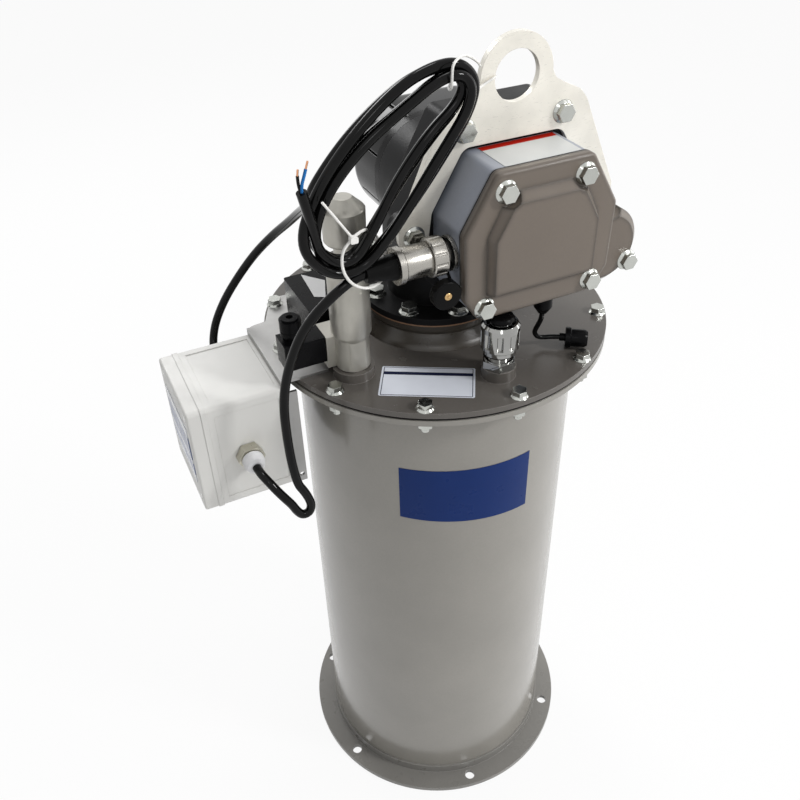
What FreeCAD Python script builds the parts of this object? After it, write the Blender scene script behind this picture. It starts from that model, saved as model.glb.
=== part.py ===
import FreeCAD, Part
import math
import os
import re

import Sketcher

# Automatic lubrication pump on a grease reservoir, in millimetres.
# The origin is the centre of the reservoir's foot, +Z is up, and the drive's cover faces -Y.

SIZES = {
    # Reservoir
    "tank_dia": 306.0,
    "tank_wall": 3.0,
    "tank_height": 668.0,
    "foot_ledge": 27.0,
    "foot_thick": 6.0,
    "foot_inner_reach": 15.0,
    "foot_hole_out": 13.0,
    "foot_hole_dia": 13.0,
    "foot_hole_start": 20.0,
    "lip_height": 14.0,
    "lip_wall": 2.5,
    "floor_thick": 3.0,
    "lid_ledge": 31.0,
    "lid_thick": 6.0,
    "rim_thick": 6.0,
    "seal_thick": 3.0,
    "lid_hole_inset": 8.8,
    "lid_hole_dia": 8.6,
    # Small fasteners
    "small_bolt_dia": 8.0,
    "small_bolt_flats": 13.0,
    "small_bolt_head": 7.0,
    "small_bolt_flange": 18.0,
    "small_nut_height": 6.5,
    "big_bolt_dia": 10.0,
    "big_bolt_flats": 15.0,
    "big_bolt_head": 7.5,
    "big_bolt_flange": 21.5,
    "big_bolt_length": 12.0,
    # Pedestal and pump
    "pedestal_height": 26.0,
    "pedestal_foot_dia": 166.0,
    "pedestal_top_dia": 150.0,
    "pedestal_bore_dia": 96.0,
    "paper_thick": 1.5,
    "tube_dia": 48.0,
    "tube_wall": 6.0,
    "tube_end": 60.0,
    "tube_collar_dia": 70.0,
    "tube_collar_height": 10.0,
    "tube_clearance": 2.0,
    "foot_valve_height": 34.0,
    "rod_dia": 16.0,
    "running_gap": 0.05,
    "piston_height": 12.0,
    "follower_height": 82.0,
    "follower_thick": 3.0,
    "wiper_height": 22.0,
    "wiper_gap": 0.5,
    # Drive casing
    "drive_x": 36.0,
    "base_ring_dia": 154.0,
    "base_ring_thick": 7.0,
    "base_bolt_circle": 129.0,
    "base_bolt_start": 40.0,
    "case_front": -79.0,
    "case_step": -25.0,
    "case_back": 24.0,
    "case_wall": 8.0,
    "case_top": 235.0,
    "case_bottom": 72.0,
    "case_top_half": 54.5,
    "case_side_half": 104.0,
    "case_side_high": 146.0,
    "case_side_low": 112.0,
    "case_foot_half": 70.0,
    "neck_dia": 100.0,
    "gear_plate_thick": 10.0,
    "crank_height": 147.0,
    "gear_module": 2.0,
    "crank_teeth": 36,
    "pinion_teeth": 12,
    "gear_backlash": 0.5,
    "gear_width": 12.0,
    "gear_front": 9.0,
    "crank_radius": 12.0,
    "crank_pin_dia": 14.0,
    "pin_end_gap": 0.5,
    "crank_shaft_dia": 20.0,
    "bush_dia": 28.0,
    "motor_shaft_dia": 12.0,
    "motor_dia": 88.0,
    "motor_length": 62.0,
    "motor_cover_half": 84.0,
    "motor_cover_bottom": 86.0,
    "motor_cover_top": 206.0,
    "motor_cover_back": 112.0,
    "motor_cover_wall": 3.0,
    "motor_cover_corner": 55.0,
    "motor_cover_dome": 32.0,
    "yoke_thick": 11.0,
    "yoke_slot_gap": 1.0,
    "yoke_wall": 7.0,
    "yoke_stem": 20.0,
    # Lifting plate
    "plate_thick": 6.0,
    "plate_ring_rise": 39.0,
    "plate_ring_radius": 36.0,
    "plate_hole_dia": 44.0,
    "plate_bolt_half": 50.0,
    "plate_bolt_drop": 8.0,
    "plate_low_half": 99.5,
    "plate_low_height": 139.0,
    "plate_ear_radius": 15.0,
    "plate_arch_gap": 4.0,
    # Control housing and front cover
    "housing_front": -130.0,
    "housing_wall": 5.0,
    "housing_top": 208.0,
    "housing_top_half": 48.0,
    "housing_side_half": 78.0,
    "housing_side_height": 157.0,
    "housing_low_half": 76.0,
    "housing_low_height": 93.0,
    "housing_foot_half": 61.0,
    "housing_bottom": 70.5,
    "cover_seal_thick": 1.5,
    "cover_flange": 9.0,
    "cover_panel_rise": 9.0,
    "cover_panel_inset": 20.0,
    "cover_bolt_top_half": 40.0,
    "cover_bolt_top": 191.5,
    "cover_bolt_foot_half": 57.0,
    "cover_bolt_foot": 83.0,
    "casing_x": 130.0,
    "casing_height": 94.0,
    "casing_radius": 39.5,
    "casing_front": -114.0,
    # Cable connector on the housing's left face
    "connector_y": -113.0,
    "connector_height": 132.0,
    # Fill coupler at the front of the lid
    "coupler_in": 48.0,
    "coupler_boss_dia": 34.0,
    "coupler_boss_height": 12.0,
    "coupler_hex_flats": 30.0,
    "coupler_hex_height": 8.0,
    "coupler_sleeve_dia": 37.0,
    "coupler_sleeve_height": 35.0,
    # Shut-off valve column
    "valve_in": 71.5,
    "valve_y": -68.0,
    "valve_boss_height": 10.0,
    "valve_dia": 39.0,
    "valve_stem_dia": 22.0,
    "valve_cap_dia": 39.5,
    # Control box and its bracket
    "bracket_reach": 11.0,
    "bracket_thick": 3.0,
    "bracket_front": -55.0,
    "bracket_back": 54.0,
    "box_front": -55.0,
    "box_back": 56.0,
    "box_top": -4.0,
    "box_height": 125.0,
    "box_depth": 81.5,
    "box_wall": 3.0,
    "box_cover_depth": 14.0,
    "box_screw_in": 13.0,
    "box_screw_up": 12.0,
    "front_gland_out": 42.0,
    "front_gland_height": -70.0,
    "rear_gland_out": 31.0,
    "rear_gland_height": -40.0,
    "gland_flats": 20.0,
    # Cords
    "lead_dia": 9.0,
    "sensor_lead_dia": 5.0,
    "hank_dia": 25.0,
    "sensor_in": 33.0,
    "sensor_gland_x": 58.0,
    "sensor_gland_y": -119.0,
}

# Heights and depths that follow from the sizes above
PLACES = {
    "foot_dia": "tank_dia + 2 * foot_ledge",
    "foot_inner_dia": "tank_dia - 2 * foot_inner_reach",
    "foot_bolt_circle": "tank_dia + 2 * foot_hole_out",
    "lid_dia": "tank_dia + 2 * lid_ledge",
    "lid_bolt_circle": "lid_dia - 2 * lid_hole_inset",
    "bracket_x": "-lid_dia / 2 - bracket_reach",
    "front_gland_x": "bracket_x - front_gland_out",
    "rear_gland_x": "bracket_x - rear_gland_out",
    "valve_x": "bracket_x + valve_in",
    "coupler_y": "coupler_in - lid_dia / 2",
    "sensor_x": "0.559 * (lid_dia / 2 - sensor_in)",
    "sensor_y": "-0.829 * (lid_dia / 2 - sensor_in)",
    "plate_bolt_height": "case_top - plate_bolt_drop",
    "plate_ring_height": "plate_bolt_height + plate_ring_rise",
    "lid_top": "tank_height + seal_thick + lid_thick",
    "rim_bottom": "tank_height - rim_thick",
    "ring_bottom": "lid_top + pedestal_height + paper_thick",
    "ring_top": "ring_bottom + base_ring_thick",
    "crank_z": "lid_top + crank_height",
    "motor_x": "gear_module * (crank_teeth + pinion_teeth) / 2",
    "gear_back": "gear_front + gear_width",
    "plate_front": "case_front - plate_thick",
    "gear_plate_back": "case_back + gear_plate_thick",
    "seal_front": "housing_front - cover_seal_thick",
    "flange_front": "seal_front - cover_flange",
    "rod_radius": "rod_dia / 2",
    "yoke_half_width": "crank_radius + crank_pin_dia / 2 + yoke_slot_gap + yoke_wall",
    "yoke_half_height": "crank_pin_dia / 2 + yoke_slot_gap + yoke_wall",
    "yoke_z": "crank_z - crank_radius",
    "yoke_foot": "yoke_z - yoke_half_height - yoke_stem",
    "yoke_back": "gear_front - 2.5",
    "yoke_front": "yoke_back - yoke_thick",
    "tank_inner_radius": "tank_dia / 2 - tank_wall",
    "coupler_sleeve_base": "lid_top + coupler_boss_height + coupler_hex_height + 6",
    "connector_face": "drive_x - housing_side_half",
    "box_cover_x": "bracket_x - box_depth",
}

FOOT_HOLES = 6
LID_BOLTS = 12
BRACKET_ANGLES = (150.0, 180.0)
BASE_BOLTS = 8
CASING_BOLT = (0.7, -0.5)

doc = FreeCAD.newDocument("LubricationPump")
sizes = doc.addObject("Spreadsheet::Sheet", "Sizes")
places = doc.addObject("Spreadsheet::Sheet", "Places")
parts = []


def formula(text):
    """Put the sheet's name before each size or place that a formula uses."""
    def with_sheet(match):
        word = match.group(0)
        if word in SIZES:
            return "Sizes." + word
        if word in PLACES:
            return "Places." + word
        return word
    return re.sub(r"[a-z][a-z_]*[a-z]", with_sheet, str(text))


def fill_sheets():
    for row, (name, value) in enumerate(SIZES.items(), start=1):
        sizes.set("A%d" % row, name)
        sizes.set("B%d" % row, str(value))
        sizes.setAlias("B%d" % row, name)
    doc.recompute()
    for row, (name, text) in enumerate(PLACES.items(), start=1):
        places.set("A%d" % row, name)
        places.set("B%d" % row, "=" + formula(text).replace("Places.", ""))
        places.setAlias("B%d" % row, name)
    doc.recompute()


def number(name):
    """The value of a size or of a place."""
    sheet = sizes if name in SIZES else places
    return float(sheet.get(name))


def bind(item, prop, text):
    item.setExpression(prop, formula(text))


def place(item, x="0", y="0", z="0", turn=None):
    """Set a sub-part's placement from formulas, with an optional fixed rotation."""
    if turn is not None:
        item.Placement = FreeCAD.Placement(FreeCAD.Vector(0, 0, 0), turn)
    bind(item, ".Placement.Base.x", x)
    bind(item, ".Placement.Base.y", y)
    bind(item, ".Placement.Base.z", z)


def keep(item, label):
    item.Label = label
    parts.append(item)
    return item


def new_body(label):
    return keep(doc.addObject("PartDesign::Body", label), label)


def new_sketch(body, role, offset="0"):
    """A sketch on one of the body's own origin planes, moved along the plane's normal."""
    sketch = body.newObject("Sketcher::SketchObject", body.Label + "_sketch")
    plane = [item for item in body.Origin.OriginFeatures if item.Role == role][0]
    sketch.AttachmentSupport = [(plane, "")]
    sketch.MapMode = "FlatFace"
    bind(sketch, ".AttachmentOffset.Base.z", offset)
    return sketch


def tie(sketch, kind, where, text):
    index = sketch.addConstraint(Sketcher.Constraint(kind, *where))
    bind(sketch, "Constraints[%d]" % index, text)


def outline(sketch, points):
    """A closed outline of straight lines whose corners are given by formulas."""
    count = len(points)
    ring = []
    for index in range(count):
        angle = 2 * math.pi * index / count
        ring.append(FreeCAD.Vector(50 * math.cos(angle), 50 * math.sin(angle), 0))
    first = sketch.GeometryCount
    for index in range(count):
        sketch.addGeometry(Part.LineSegment(ring[index], ring[(index + 1) % count]), False)
    for index in range(count):
        following = (index + 1) % count
        join = Sketcher.Constraint("Coincident", first + index, 2, first + following, 1)
        sketch.addConstraint(join)
    for index, (across, up) in enumerate(points):
        tie(sketch, "DistanceX", (-1, 1, first + index, 1, ring[index].x), across)
        tie(sketch, "DistanceY", (-1, 1, first + index, 1, ring[index].y), up)


def circle(sketch, across, up, radius):
    index = sketch.GeometryCount
    shape = Part.Circle(FreeCAD.Vector(10, 10, 0), FreeCAD.Vector(0, 0, 1), 5)
    sketch.addGeometry(shape, False)
    tie(sketch, "DistanceX", (-1, 1, index, 3, 10.0), across)
    tie(sketch, "DistanceY", (-1, 1, index, 3, 10.0), up)
    tie(sketch, "Radius", (index, 5.0), radius)


def pad(body, sketch, length):
    feature = body.newObject("PartDesign::Pad", body.Label + "_pad")
    feature.Profile = sketch
    bind(feature, "Length", length)
    return feature


def pocket(body, sketch, length):
    feature = body.newObject("PartDesign::Pocket", body.Label + "_pocket")
    feature.Profile = sketch
    bind(feature, "Length", length)
    return feature


def turn_profile(body, points, kind="PartDesign::Revolution"):
    """Revolve an outline of (radius, height) points about the body's own Z axis."""
    sketch = new_sketch(body, "XZ_Plane")
    outline(sketch, points)
    feature = body.newObject(kind, body.Label + "_turned")
    feature.Profile = sketch
    feature.ReferenceAxis = (sketch, ["V_Axis"])
    feature.Angle = 360
    return feature


def slab(body, points, front, back):
    """Pad an outline in the XZ plane between two depths."""
    sketch = new_sketch(body, "XZ_Plane", "-(%s)" % back)
    outline(sketch, points)
    return pad(body, sketch, "(%s) - (%s)" % (back, front))


def disc(body, across, up, radius, front, back):
    sketch = new_sketch(body, "XZ_Plane", "-(%s)" % back)
    circle(sketch, across, up, radius)
    return pad(body, sketch, "(%s) - (%s)" % (back, front))


def slab_cut(body, points, front, back):
    """Cut an outline in the XZ plane out of the body between two depths."""
    sketch = new_sketch(body, "XZ_Plane", "-(%s)" % front)
    outline(sketch, points)
    return pocket(body, sketch, "(%s) - (%s)" % (back, front))


def bore(body, circles, front, back):
    """Cut round holes that run along Y between two depths."""
    sketch = new_sketch(body, "XZ_Plane", "-(%s)" % front)
    for across, up, radius in circles:
        circle(sketch, across, up, radius)
    return pocket(body, sketch, "(%s) - (%s)" % (back, front))


def drill(body, across, along, radius, top, depth):
    """Cut one round hole downwards from a height."""
    sketch = new_sketch(body, "XY_Plane", top)
    circle(sketch, across, along, radius)
    return pocket(body, sketch, depth)


def polar(body, feature, count):
    """Repeat a feature round the body's Z axis."""
    pattern = body.newObject("PartDesign::PolarPattern", body.Label + "_pattern")
    pattern.Originals = [feature]
    axis = [item for item in body.Origin.OriginFeatures if item.Role == "Z_Axis"][0]
    pattern.Axis = (axis, [""])
    pattern.Angle = 360
    pattern.Occurrences = count
    body.Tip = pattern
    return pattern


def along(edge, axis):
    """Whether an edge is straight and runs along X (0), Y (1) or Z (2)."""
    if not isinstance(edge.Curve, (Part.Line, Part.LineSegment)):
        return False
    start, end = edge.Vertexes[0].Point, edge.Vertexes[-1].Point
    step = end - start
    return abs(step[axis]) > 0.99 * step.Length


def soften(body, radius, wanted, kind="PartDesign::Fillet"):
    """Round or chamfer the edges of the body's last feature that the test picks."""
    doc.recompute()
    base = body.Tip
    names = []
    for index, edge in enumerate(base.Shape.Edges, start=1):
        if wanted(edge):
            names.append("Edge%d" % index)
    feature = body.newObject(kind, body.Label + "_edges")
    feature.Base = (base, names)
    bind(feature, "Radius" if kind.endswith("Fillet") else "Size", radius)
    return feature


def mirrored_outline(right_side):
    """A left-right symmetric outline about the drive's centre, from its right side."""
    right = [("drive_x + (%s)" % across, "lid_top + (%s)" % up) for across, up in right_side]
    left = [("drive_x - (%s)" % across, "lid_top + (%s)" % up) for across, up in right_side]
    return right + left[::-1]


def hex_bolt(label, dia, flats, head, flange, length):
    """A hexagon flange bolt standing on its seat at z = 0, head up."""
    washer = doc.addObject("Part::Cone", label + "_flange")
    bind(washer, "Radius1", "%s / 2" % flange)
    bind(washer, "Radius2", "%s / 2 + 0.5" % flats)
    bind(washer, "Height", "%s * 0.3" % head)
    hexagon = doc.addObject("Part::Prism", label + "_head")
    hexagon.Polygon = 6
    bind(hexagon, "Circumradius", "%s / 1.7320508" % flats)
    bind(hexagon, "Height", head)
    shank = doc.addObject("Part::Cylinder", label + "_shank")
    bind(shank, "Radius", "%s / 2" % dia)
    bind(shank, "Height", "(%s) + 1" % length)
    bind(shank, ".Placement.Base.z", "-(%s)" % length)
    bolt = doc.addObject("Part::MultiFuse", label)
    bolt.Shapes = [washer, hexagon, shank]
    bolt.Refine = True
    doc.recompute()
    return bolt


def copies(label, pattern, spots):
    """One sub-part of equal separate solids, each at its own placement."""
    group = doc.addObject("Part::Feature", label)
    solids = []
    for spot in spots:
        solid = pattern.Shape.copy()
        solid.Placement = spot.multiply(solid.Placement)
        solids.append(solid)
    group.Shape = Part.Compound(solids)
    return keep(group, label)


UP = FreeCAD.Rotation(0, 0, 0)
TO_FRONT = FreeCAD.Rotation(FreeCAD.Vector(1, 0, 0), 90)
TO_BACK = FreeCAD.Rotation(FreeCAD.Vector(1, 0, 0), -90)
TO_LEFT = FreeCAD.Rotation(FreeCAD.Vector(0, 1, 0), -90)
ALONG_LID = FreeCAD.Rotation(FreeCAD.Vector(0, 0, 1), FreeCAD.Vector(0.82, -0.57, 0))


def spot(x, y, z, turn=UP):
    return FreeCAD.Placement(FreeCAD.Vector(x, y, z), turn)


def ring_spots(dia, count, z, start=0.0, turn=UP):
    spots = []
    for index in range(count):
        angle = math.radians(start + 360.0 * index / count)
        x = dia / 2 * math.cos(angle)
        y = dia / 2 * math.sin(angle)
        spots.append(spot(x, y, z, turn))
    return spots


def flat_ring(label, outer, inner, thick, z, holes=None):
    """A flat ring with an optional circle of holes: (circle, diameter, count)."""
    body = new_body(label)
    sketch = new_sketch(body, "XY_Plane")
    circle(sketch, "0", "0", "(%s) / 2" % outer)
    if inner:
        circle(sketch, "0", "0", "(%s) / 2" % inner)
    pad(body, sketch, thick)
    if holes:
        around, dia, count = holes
        cut = drill(body, "(%s) / 2" % around, "0", "(%s) / 2" % dia, thick, thick)
        polar(body, cut, count)
    place(body, z=z)
    return body


# Reservoir


def make_tank_shell():
    body = new_body("tank_shell")
    turn_profile(body, [
        ("tank_inner_radius", "foot_thick"),
        ("tank_dia / 2", "foot_thick"),
        ("tank_dia / 2", "rim_bottom"),
        ("tank_inner_radius", "rim_bottom"),
    ])


def make_foot():
    """The foot ring carries a rolled lip close round the tank and six fixing holes."""
    body = new_body("foot_flange")
    turn_profile(body, [
        ("foot_inner_dia / 2", "0"),
        ("foot_dia / 2", "0"),
        ("foot_dia / 2", "foot_thick"),
        ("tank_dia / 2 + lip_wall", "foot_thick"),
        ("tank_dia / 2 + lip_wall", "foot_thick + lip_height"),
        ("tank_dia / 2", "foot_thick + lip_height"),
        ("tank_dia / 2", "foot_thick"),
        ("foot_inner_dia / 2", "foot_thick"),
    ])
    turned = "%s * foot_bolt_circle / 2"
    start = math.radians(SIZES["foot_hole_start"])
    cut = drill(body, turned % math.cos(start), turned % math.sin(start),
                "foot_hole_dia / 2", "foot_thick", "foot_thick")
    polar(body, cut, FOOT_HOLES)


def make_reservoir_rings():
    holes = ("lid_bolt_circle", "lid_hole_dia", LID_BOLTS)
    flat_ring("tank_floor", "2 * tank_inner_radius - 0.4", None, "floor_thick", "foot_thick")
    flat_ring("top_flange", "lid_dia", "2 * tank_inner_radius", "rim_thick", "rim_bottom", holes)
    flat_ring("lid_seal", "lid_dia - 3", "tank_dia", "seal_thick", "tank_height", holes)


def make_lid():
    """The lid with its welded bosses for the coupler and for the shut-off valve."""
    body = new_body("lid_plate")
    sketch = new_sketch(body, "XY_Plane")
    circle(sketch, "0", "0", "lid_dia / 2")
    pad(body, sketch, "lid_thick")
    bosses = [
        ("0", "coupler_y", "coupler_boss_dia / 2", "coupler_boss_height"),
        ("valve_x", "valve_y", "valve_dia / 2 + 1", "valve_boss_height"),
    ]
    for x, y, radius, height in bosses:
        boss = new_sketch(body, "XY_Plane", "lid_thick")
        circle(boss, x, y, radius)
        pad(body, boss, height)
        drill(body, x, y, "7", "lid_thick + (%s)" % height, "lid_thick + (%s)" % height)
    drill(body, "0", "0", "tube_dia / 2 + tube_clearance", "lid_thick", "lid_thick")
    cut = drill(body, "lid_bolt_circle / 2", "0", "lid_hole_dia / 2", "lid_thick", "lid_thick")
    polar(body, cut, LID_BOLTS)
    place(body, z="lid_top - lid_thick")


def make_lid_fasteners():
    """Flange bolts round the lid, two of them over the bracket, and their nuts beneath."""
    grip = "lid_thick + seal_thick + rim_thick + small_nut_height + bracket_thick + 2"
    bolt = hex_bolt("small_bolt", "small_bolt_dia", "small_bolt_flats", "small_bolt_head",
                    "small_bolt_flange", grip)
    spots = ring_spots(number("lid_bolt_circle"), LID_BOLTS, number("lid_top"))
    for angle in BRACKET_ANGLES:
        spots[round(angle / 360.0 * LID_BOLTS)].Base.z += number("bracket_thick")
    copies("lid_bolts", bolt, spots)
    nut = Part.Circle(FreeCAD.Vector(0, 0, 0), FreeCAD.Vector(0, 0, 1),
                      number("small_bolt_flats") / math.sqrt(3))
    corners = [nut.value(math.radians(60 * step)) for step in range(7)]
    hexagon = Part.Face(Part.makePolygon(corners))
    solid = hexagon.extrude(FreeCAD.Vector(0, 0, number("small_nut_height")))
    hole = Part.makeCylinder(number("small_bolt_dia") / 2, number("small_nut_height"))
    master = doc.addObject("Part::Feature", "small_nut")
    master.Shape = solid.cut(hole)
    low = number("rim_bottom") - number("small_nut_height")
    copies("lid_nuts", master, ring_spots(number("lid_bolt_circle"), LID_BOLTS, low))


# Pedestal, pump tube and follower


def make_pedestal():
    body = new_body("pedestal")
    turn_profile(body, [
        ("pedestal_bore_dia / 2", "0"),
        ("pedestal_foot_dia / 2", "0"),
        ("pedestal_foot_dia / 2 - 1", "3"),
        ("pedestal_top_dia / 2 + 1", "9"),
        ("pedestal_top_dia / 2 - 3", "pedestal_height - 12"),
        ("pedestal_top_dia / 2", "pedestal_height - 7"),
        ("pedestal_top_dia / 2", "pedestal_height"),
        ("pedestal_bore_dia / 2", "pedestal_height"),
    ])
    place(body, z="lid_top")
    flat_ring("pedestal_seal", "pedestal_top_dia + 4", "pedestal_bore_dia", "paper_thick",
              "lid_top + pedestal_height")


def make_pump():
    """The long pump tube hangs from the casing through the lid; its foot takes in grease."""
    inner = "tube_dia / 2 - tube_wall"
    body = new_body("pump_tube")
    turn_profile(body, [
        (inner, "tube_end"),
        ("tube_dia / 2", "tube_end"),
        ("tube_dia / 2", "ring_bottom - tube_collar_height"),
        ("tube_collar_dia / 2", "ring_bottom - tube_collar_height"),
        ("tube_collar_dia / 2", "ring_bottom"),
        (inner, "ring_bottom"),
    ])
    foot = new_body("foot_valve")
    turn_profile(foot, [
        (inner, "0"),
        ("tube_dia / 2", "0"),
        ("tube_dia / 2 + 3", "4"),
        ("tube_dia / 2 + 3", "foot_valve_height - 6"),
        ("tube_dia / 2", "foot_valve_height"),
        (inner, "foot_valve_height"),
    ])
    slot = new_sketch(foot, "YZ_Plane", "tube_dia / 2 + 6")
    outline(slot, [("-6", "8"), ("6", "8"), ("6", "foot_valve_height - 12"),
                   ("-6", "foot_valve_height - 12")])
    window = pocket(foot, slot, "tube_dia / 2")
    polar(foot, window, 4)
    place(foot, z="tube_end - foot_valve_height")


def make_pump_rod():
    """The yoke turns the crank's circle into the rod's stroke."""
    body = new_body("pump_rod")
    turn_profile(body, [
        ("0", "tube_end + 6"),
        ("rod_radius", "tube_end + 6"),
        ("rod_radius", "yoke_foot"),
        ("0", "yoke_foot"),
    ])
    piston = new_body("priming_piston")
    edge = "tube_dia / 2 - tube_wall - 0.1"
    turn_profile(piston, [
        ("0", "0"),
        (edge, "0"),
        (edge, "piston_height - 3"),
        ("%s - 4" % edge, "piston_height"),
        ("0", "piston_height"),
    ])
    place(piston, z="tube_end + 6 - piston_height")
    yoke = new_body("yoke")
    wide, high = "yoke_half_width", "yoke_half_height"
    centre = "yoke_z"
    slab(yoke, [("-" + wide, "%s - %s" % (centre, high)), (wide, "%s - %s" % (centre, high)),
                (wide, "%s + %s" % (centre, high)), ("-" + wide, "%s + %s" % (centre, high))],
         "yoke_front", "yoke_back")
    soften(yoke, "5", lambda edge_: along(edge_, 1))
    shoulder = "%s - %s + yoke_wall / 2" % (centre, high)
    slab(yoke, [("-rod_radius", "yoke_foot"), ("rod_radius", "yoke_foot"),
                ("rod_radius", shoulder), ("-rod_radius", shoulder)], "yoke_front", "yoke_back")
    slot_half = "yoke_half_width - yoke_wall"
    slot_high = "yoke_half_height - yoke_wall"
    slab_cut(yoke, [("-(%s)" % slot_half, "%s - (%s)" % (centre, slot_high)),
                    (slot_half, "%s - (%s)" % (centre, slot_high)),
                    (slot_half, "%s + %s" % (centre, slot_high)),
                    ("-(%s)" % slot_half, "%s + %s" % (centre, slot_high))],
             "yoke_front", "yoke_back")
    bush = new_body("rod_bush")
    turn_profile(bush, [
        ("rod_radius + running_gap", "ring_bottom"),
        ("rod_radius + 5", "ring_bottom"),
        ("rod_radius + 5", "ring_top + 6"),
        ("rod_radius + 8", "ring_top + 6"),
        ("rod_radius + 8", "ring_top + 9"),
        ("rod_radius + running_gap", "ring_top + 9"),
    ])


def make_follower():
    """A dished plate with a rubber wiper rides on the grease, guided by the pump tube."""
    body = new_body("follower_plate")
    hub = "tube_dia / 2 + wiper_gap"
    turn_profile(body, [
        (hub, "0"),
        ("tube_dia / 2 + 40", "0"),
        ("tank_inner_radius - 30", "10"),
        ("tank_inner_radius - 12", "10"),
        ("tank_inner_radius - 12", "10 + follower_thick"),
        ("tank_inner_radius - 31", "10 + follower_thick"),
        ("tube_dia / 2 + 39", "follower_thick"),
        ("tube_dia / 2 + 5", "follower_thick"),
        ("tube_dia / 2 + 5", "24"),
        (hub, "24"),
    ])
    place(body, z="follower_height")
    wiper = new_body("follower_wiper")
    turn_profile(wiper, [
        ("tank_inner_radius - 12", "10"),
        ("tank_inner_radius - 7", "10"),
        ("tank_inner_radius - wiper_gap - 1", "10 - wiper_height / 2"),
        ("tank_inner_radius - wiper_gap", "10 - wiper_height / 2"),
        ("tank_inner_radius - wiper_gap", "12 + wiper_height / 2"),
        ("tank_inner_radius - wiper_gap - 1", "12 + wiper_height / 2"),
        ("tank_inner_radius - 7", "10 + follower_thick"),
        ("tank_inner_radius - 12", "10 + follower_thick"),
    ])
    place(wiper, z="follower_height")


# Drive casing, gears and motor


CASE_SIDE = [
    ("case_top_half", "case_top"),
    ("case_side_half", "case_side_high"),
    ("case_side_half", "case_side_low"),
    ("case_foot_half", "case_bottom"),
]


def rounded_block(body, front, back):
    """The casing's rear block, which the back plate and the motor's cover repeat."""
    block = [("motor_cover_half", "motor_cover_top"), ("motor_cover_half", "motor_cover_bottom")]
    slab(body, mirrored_outline(block), front, back)
    soften(body, "motor_cover_corner", lambda edge: along(edge, 1))


def inside_block(wall):
    """The room inside the rounded block, with straight corners, at a wall's distance."""
    wide = "motor_cover_half - %s" % wall
    return mirrored_outline([
        (wide + " - 0.6 * motor_cover_corner", "motor_cover_top - %s" % wall),
        (wide, "motor_cover_top - %s - 0.6 * motor_cover_corner" % wall),
        (wide, "motor_cover_bottom + %s + 0.6 * motor_cover_corner" % wall),
        (wide + " - 0.6 * motor_cover_corner", "motor_cover_bottom + %s" % wall),
    ])


def plate_bolt_points():
    return [("-plate_bolt_half", "plate_bolt_height"), ("plate_bolt_half", "plate_bolt_height"),
            ("-plate_low_half", "plate_low_height"), ("plate_low_half", "plate_low_height")]


def make_gear_case():
    """One casting: base ring, neck, gear chamber open at the back, and a tall front."""
    body = new_body("gear_case")
    rounded_block(body, "case_step", "case_back")
    slab(body, mirrored_outline(CASE_SIDE), "case_front", "case_step")
    face = number("case_front")
    soften(body, "12", lambda edge: along(edge, 1) and edge.BoundBox.YMin < face + 1)
    for side in ("-", "+"):
        disc(body, "drive_x %s plate_low_half" % side, "lid_top + plate_low_height",
             "plate_ear_radius", "case_front", "case_front + 22")
    neck = new_sketch(body, "XY_Plane", "ring_bottom")
    circle(neck, "0", "0", "neck_dia / 2")
    pad(body, neck, "lid_top + motor_cover_bottom + 18 - ring_bottom")
    low, high = "lid_top + motor_cover_bottom - 2", "lid_top + motor_cover_bottom + 20"
    slab_cut(body, [("-neck_dia", low), ("neck_dia", low), ("neck_dia", high),
                    ("-neck_dia", high)], "case_back", "case_back + neck_dia / 2")
    ring = new_sketch(body, "XY_Plane", "ring_bottom")
    circle(ring, "0", "0", "base_ring_dia / 2")
    pad(body, ring, "base_ring_thick")
    slab_cut(body, inside_block("case_wall"), "case_front + case_wall", "case_back")
    chamber = "lid_top + motor_cover_bottom + case_wall + 18"
    drill(body, "0", "0", "rod_radius + 5", chamber, "%s - ring_bottom" % chamber)
    drill(body, "0", "0", "rod_radius + 16", chamber, "%s - ring_top - 6" % chamber)
    start = math.radians(SIZES["base_bolt_start"])
    hole = drill(body, "base_bolt_circle / 2 * %s" % math.cos(start),
                 "base_bolt_circle / 2 * %s" % math.sin(start),
                 "big_bolt_dia / 2", "ring_top", "base_ring_thick")
    polar(body, hole, BASE_BOLTS)
    holes = [("drive_x + (%s)" % across, "lid_top + (%s)" % up, "big_bolt_dia / 2")
             for across, up in plate_bolt_points()]
    bore(body, holes, "case_front", "case_front + big_bolt_length")


def make_gear_plate():
    """The casing's back plate carries the crank's bush and the motor."""
    body = new_body("gear_plate")
    rounded_block(body, "case_back", "gear_plate_back")
    bore(body, [("0", "crank_z", "bush_dia / 2"),
                ("motor_x", "crank_z", "motor_shaft_dia / 2 + 4")],
         "case_back", "gear_plate_back")


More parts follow.
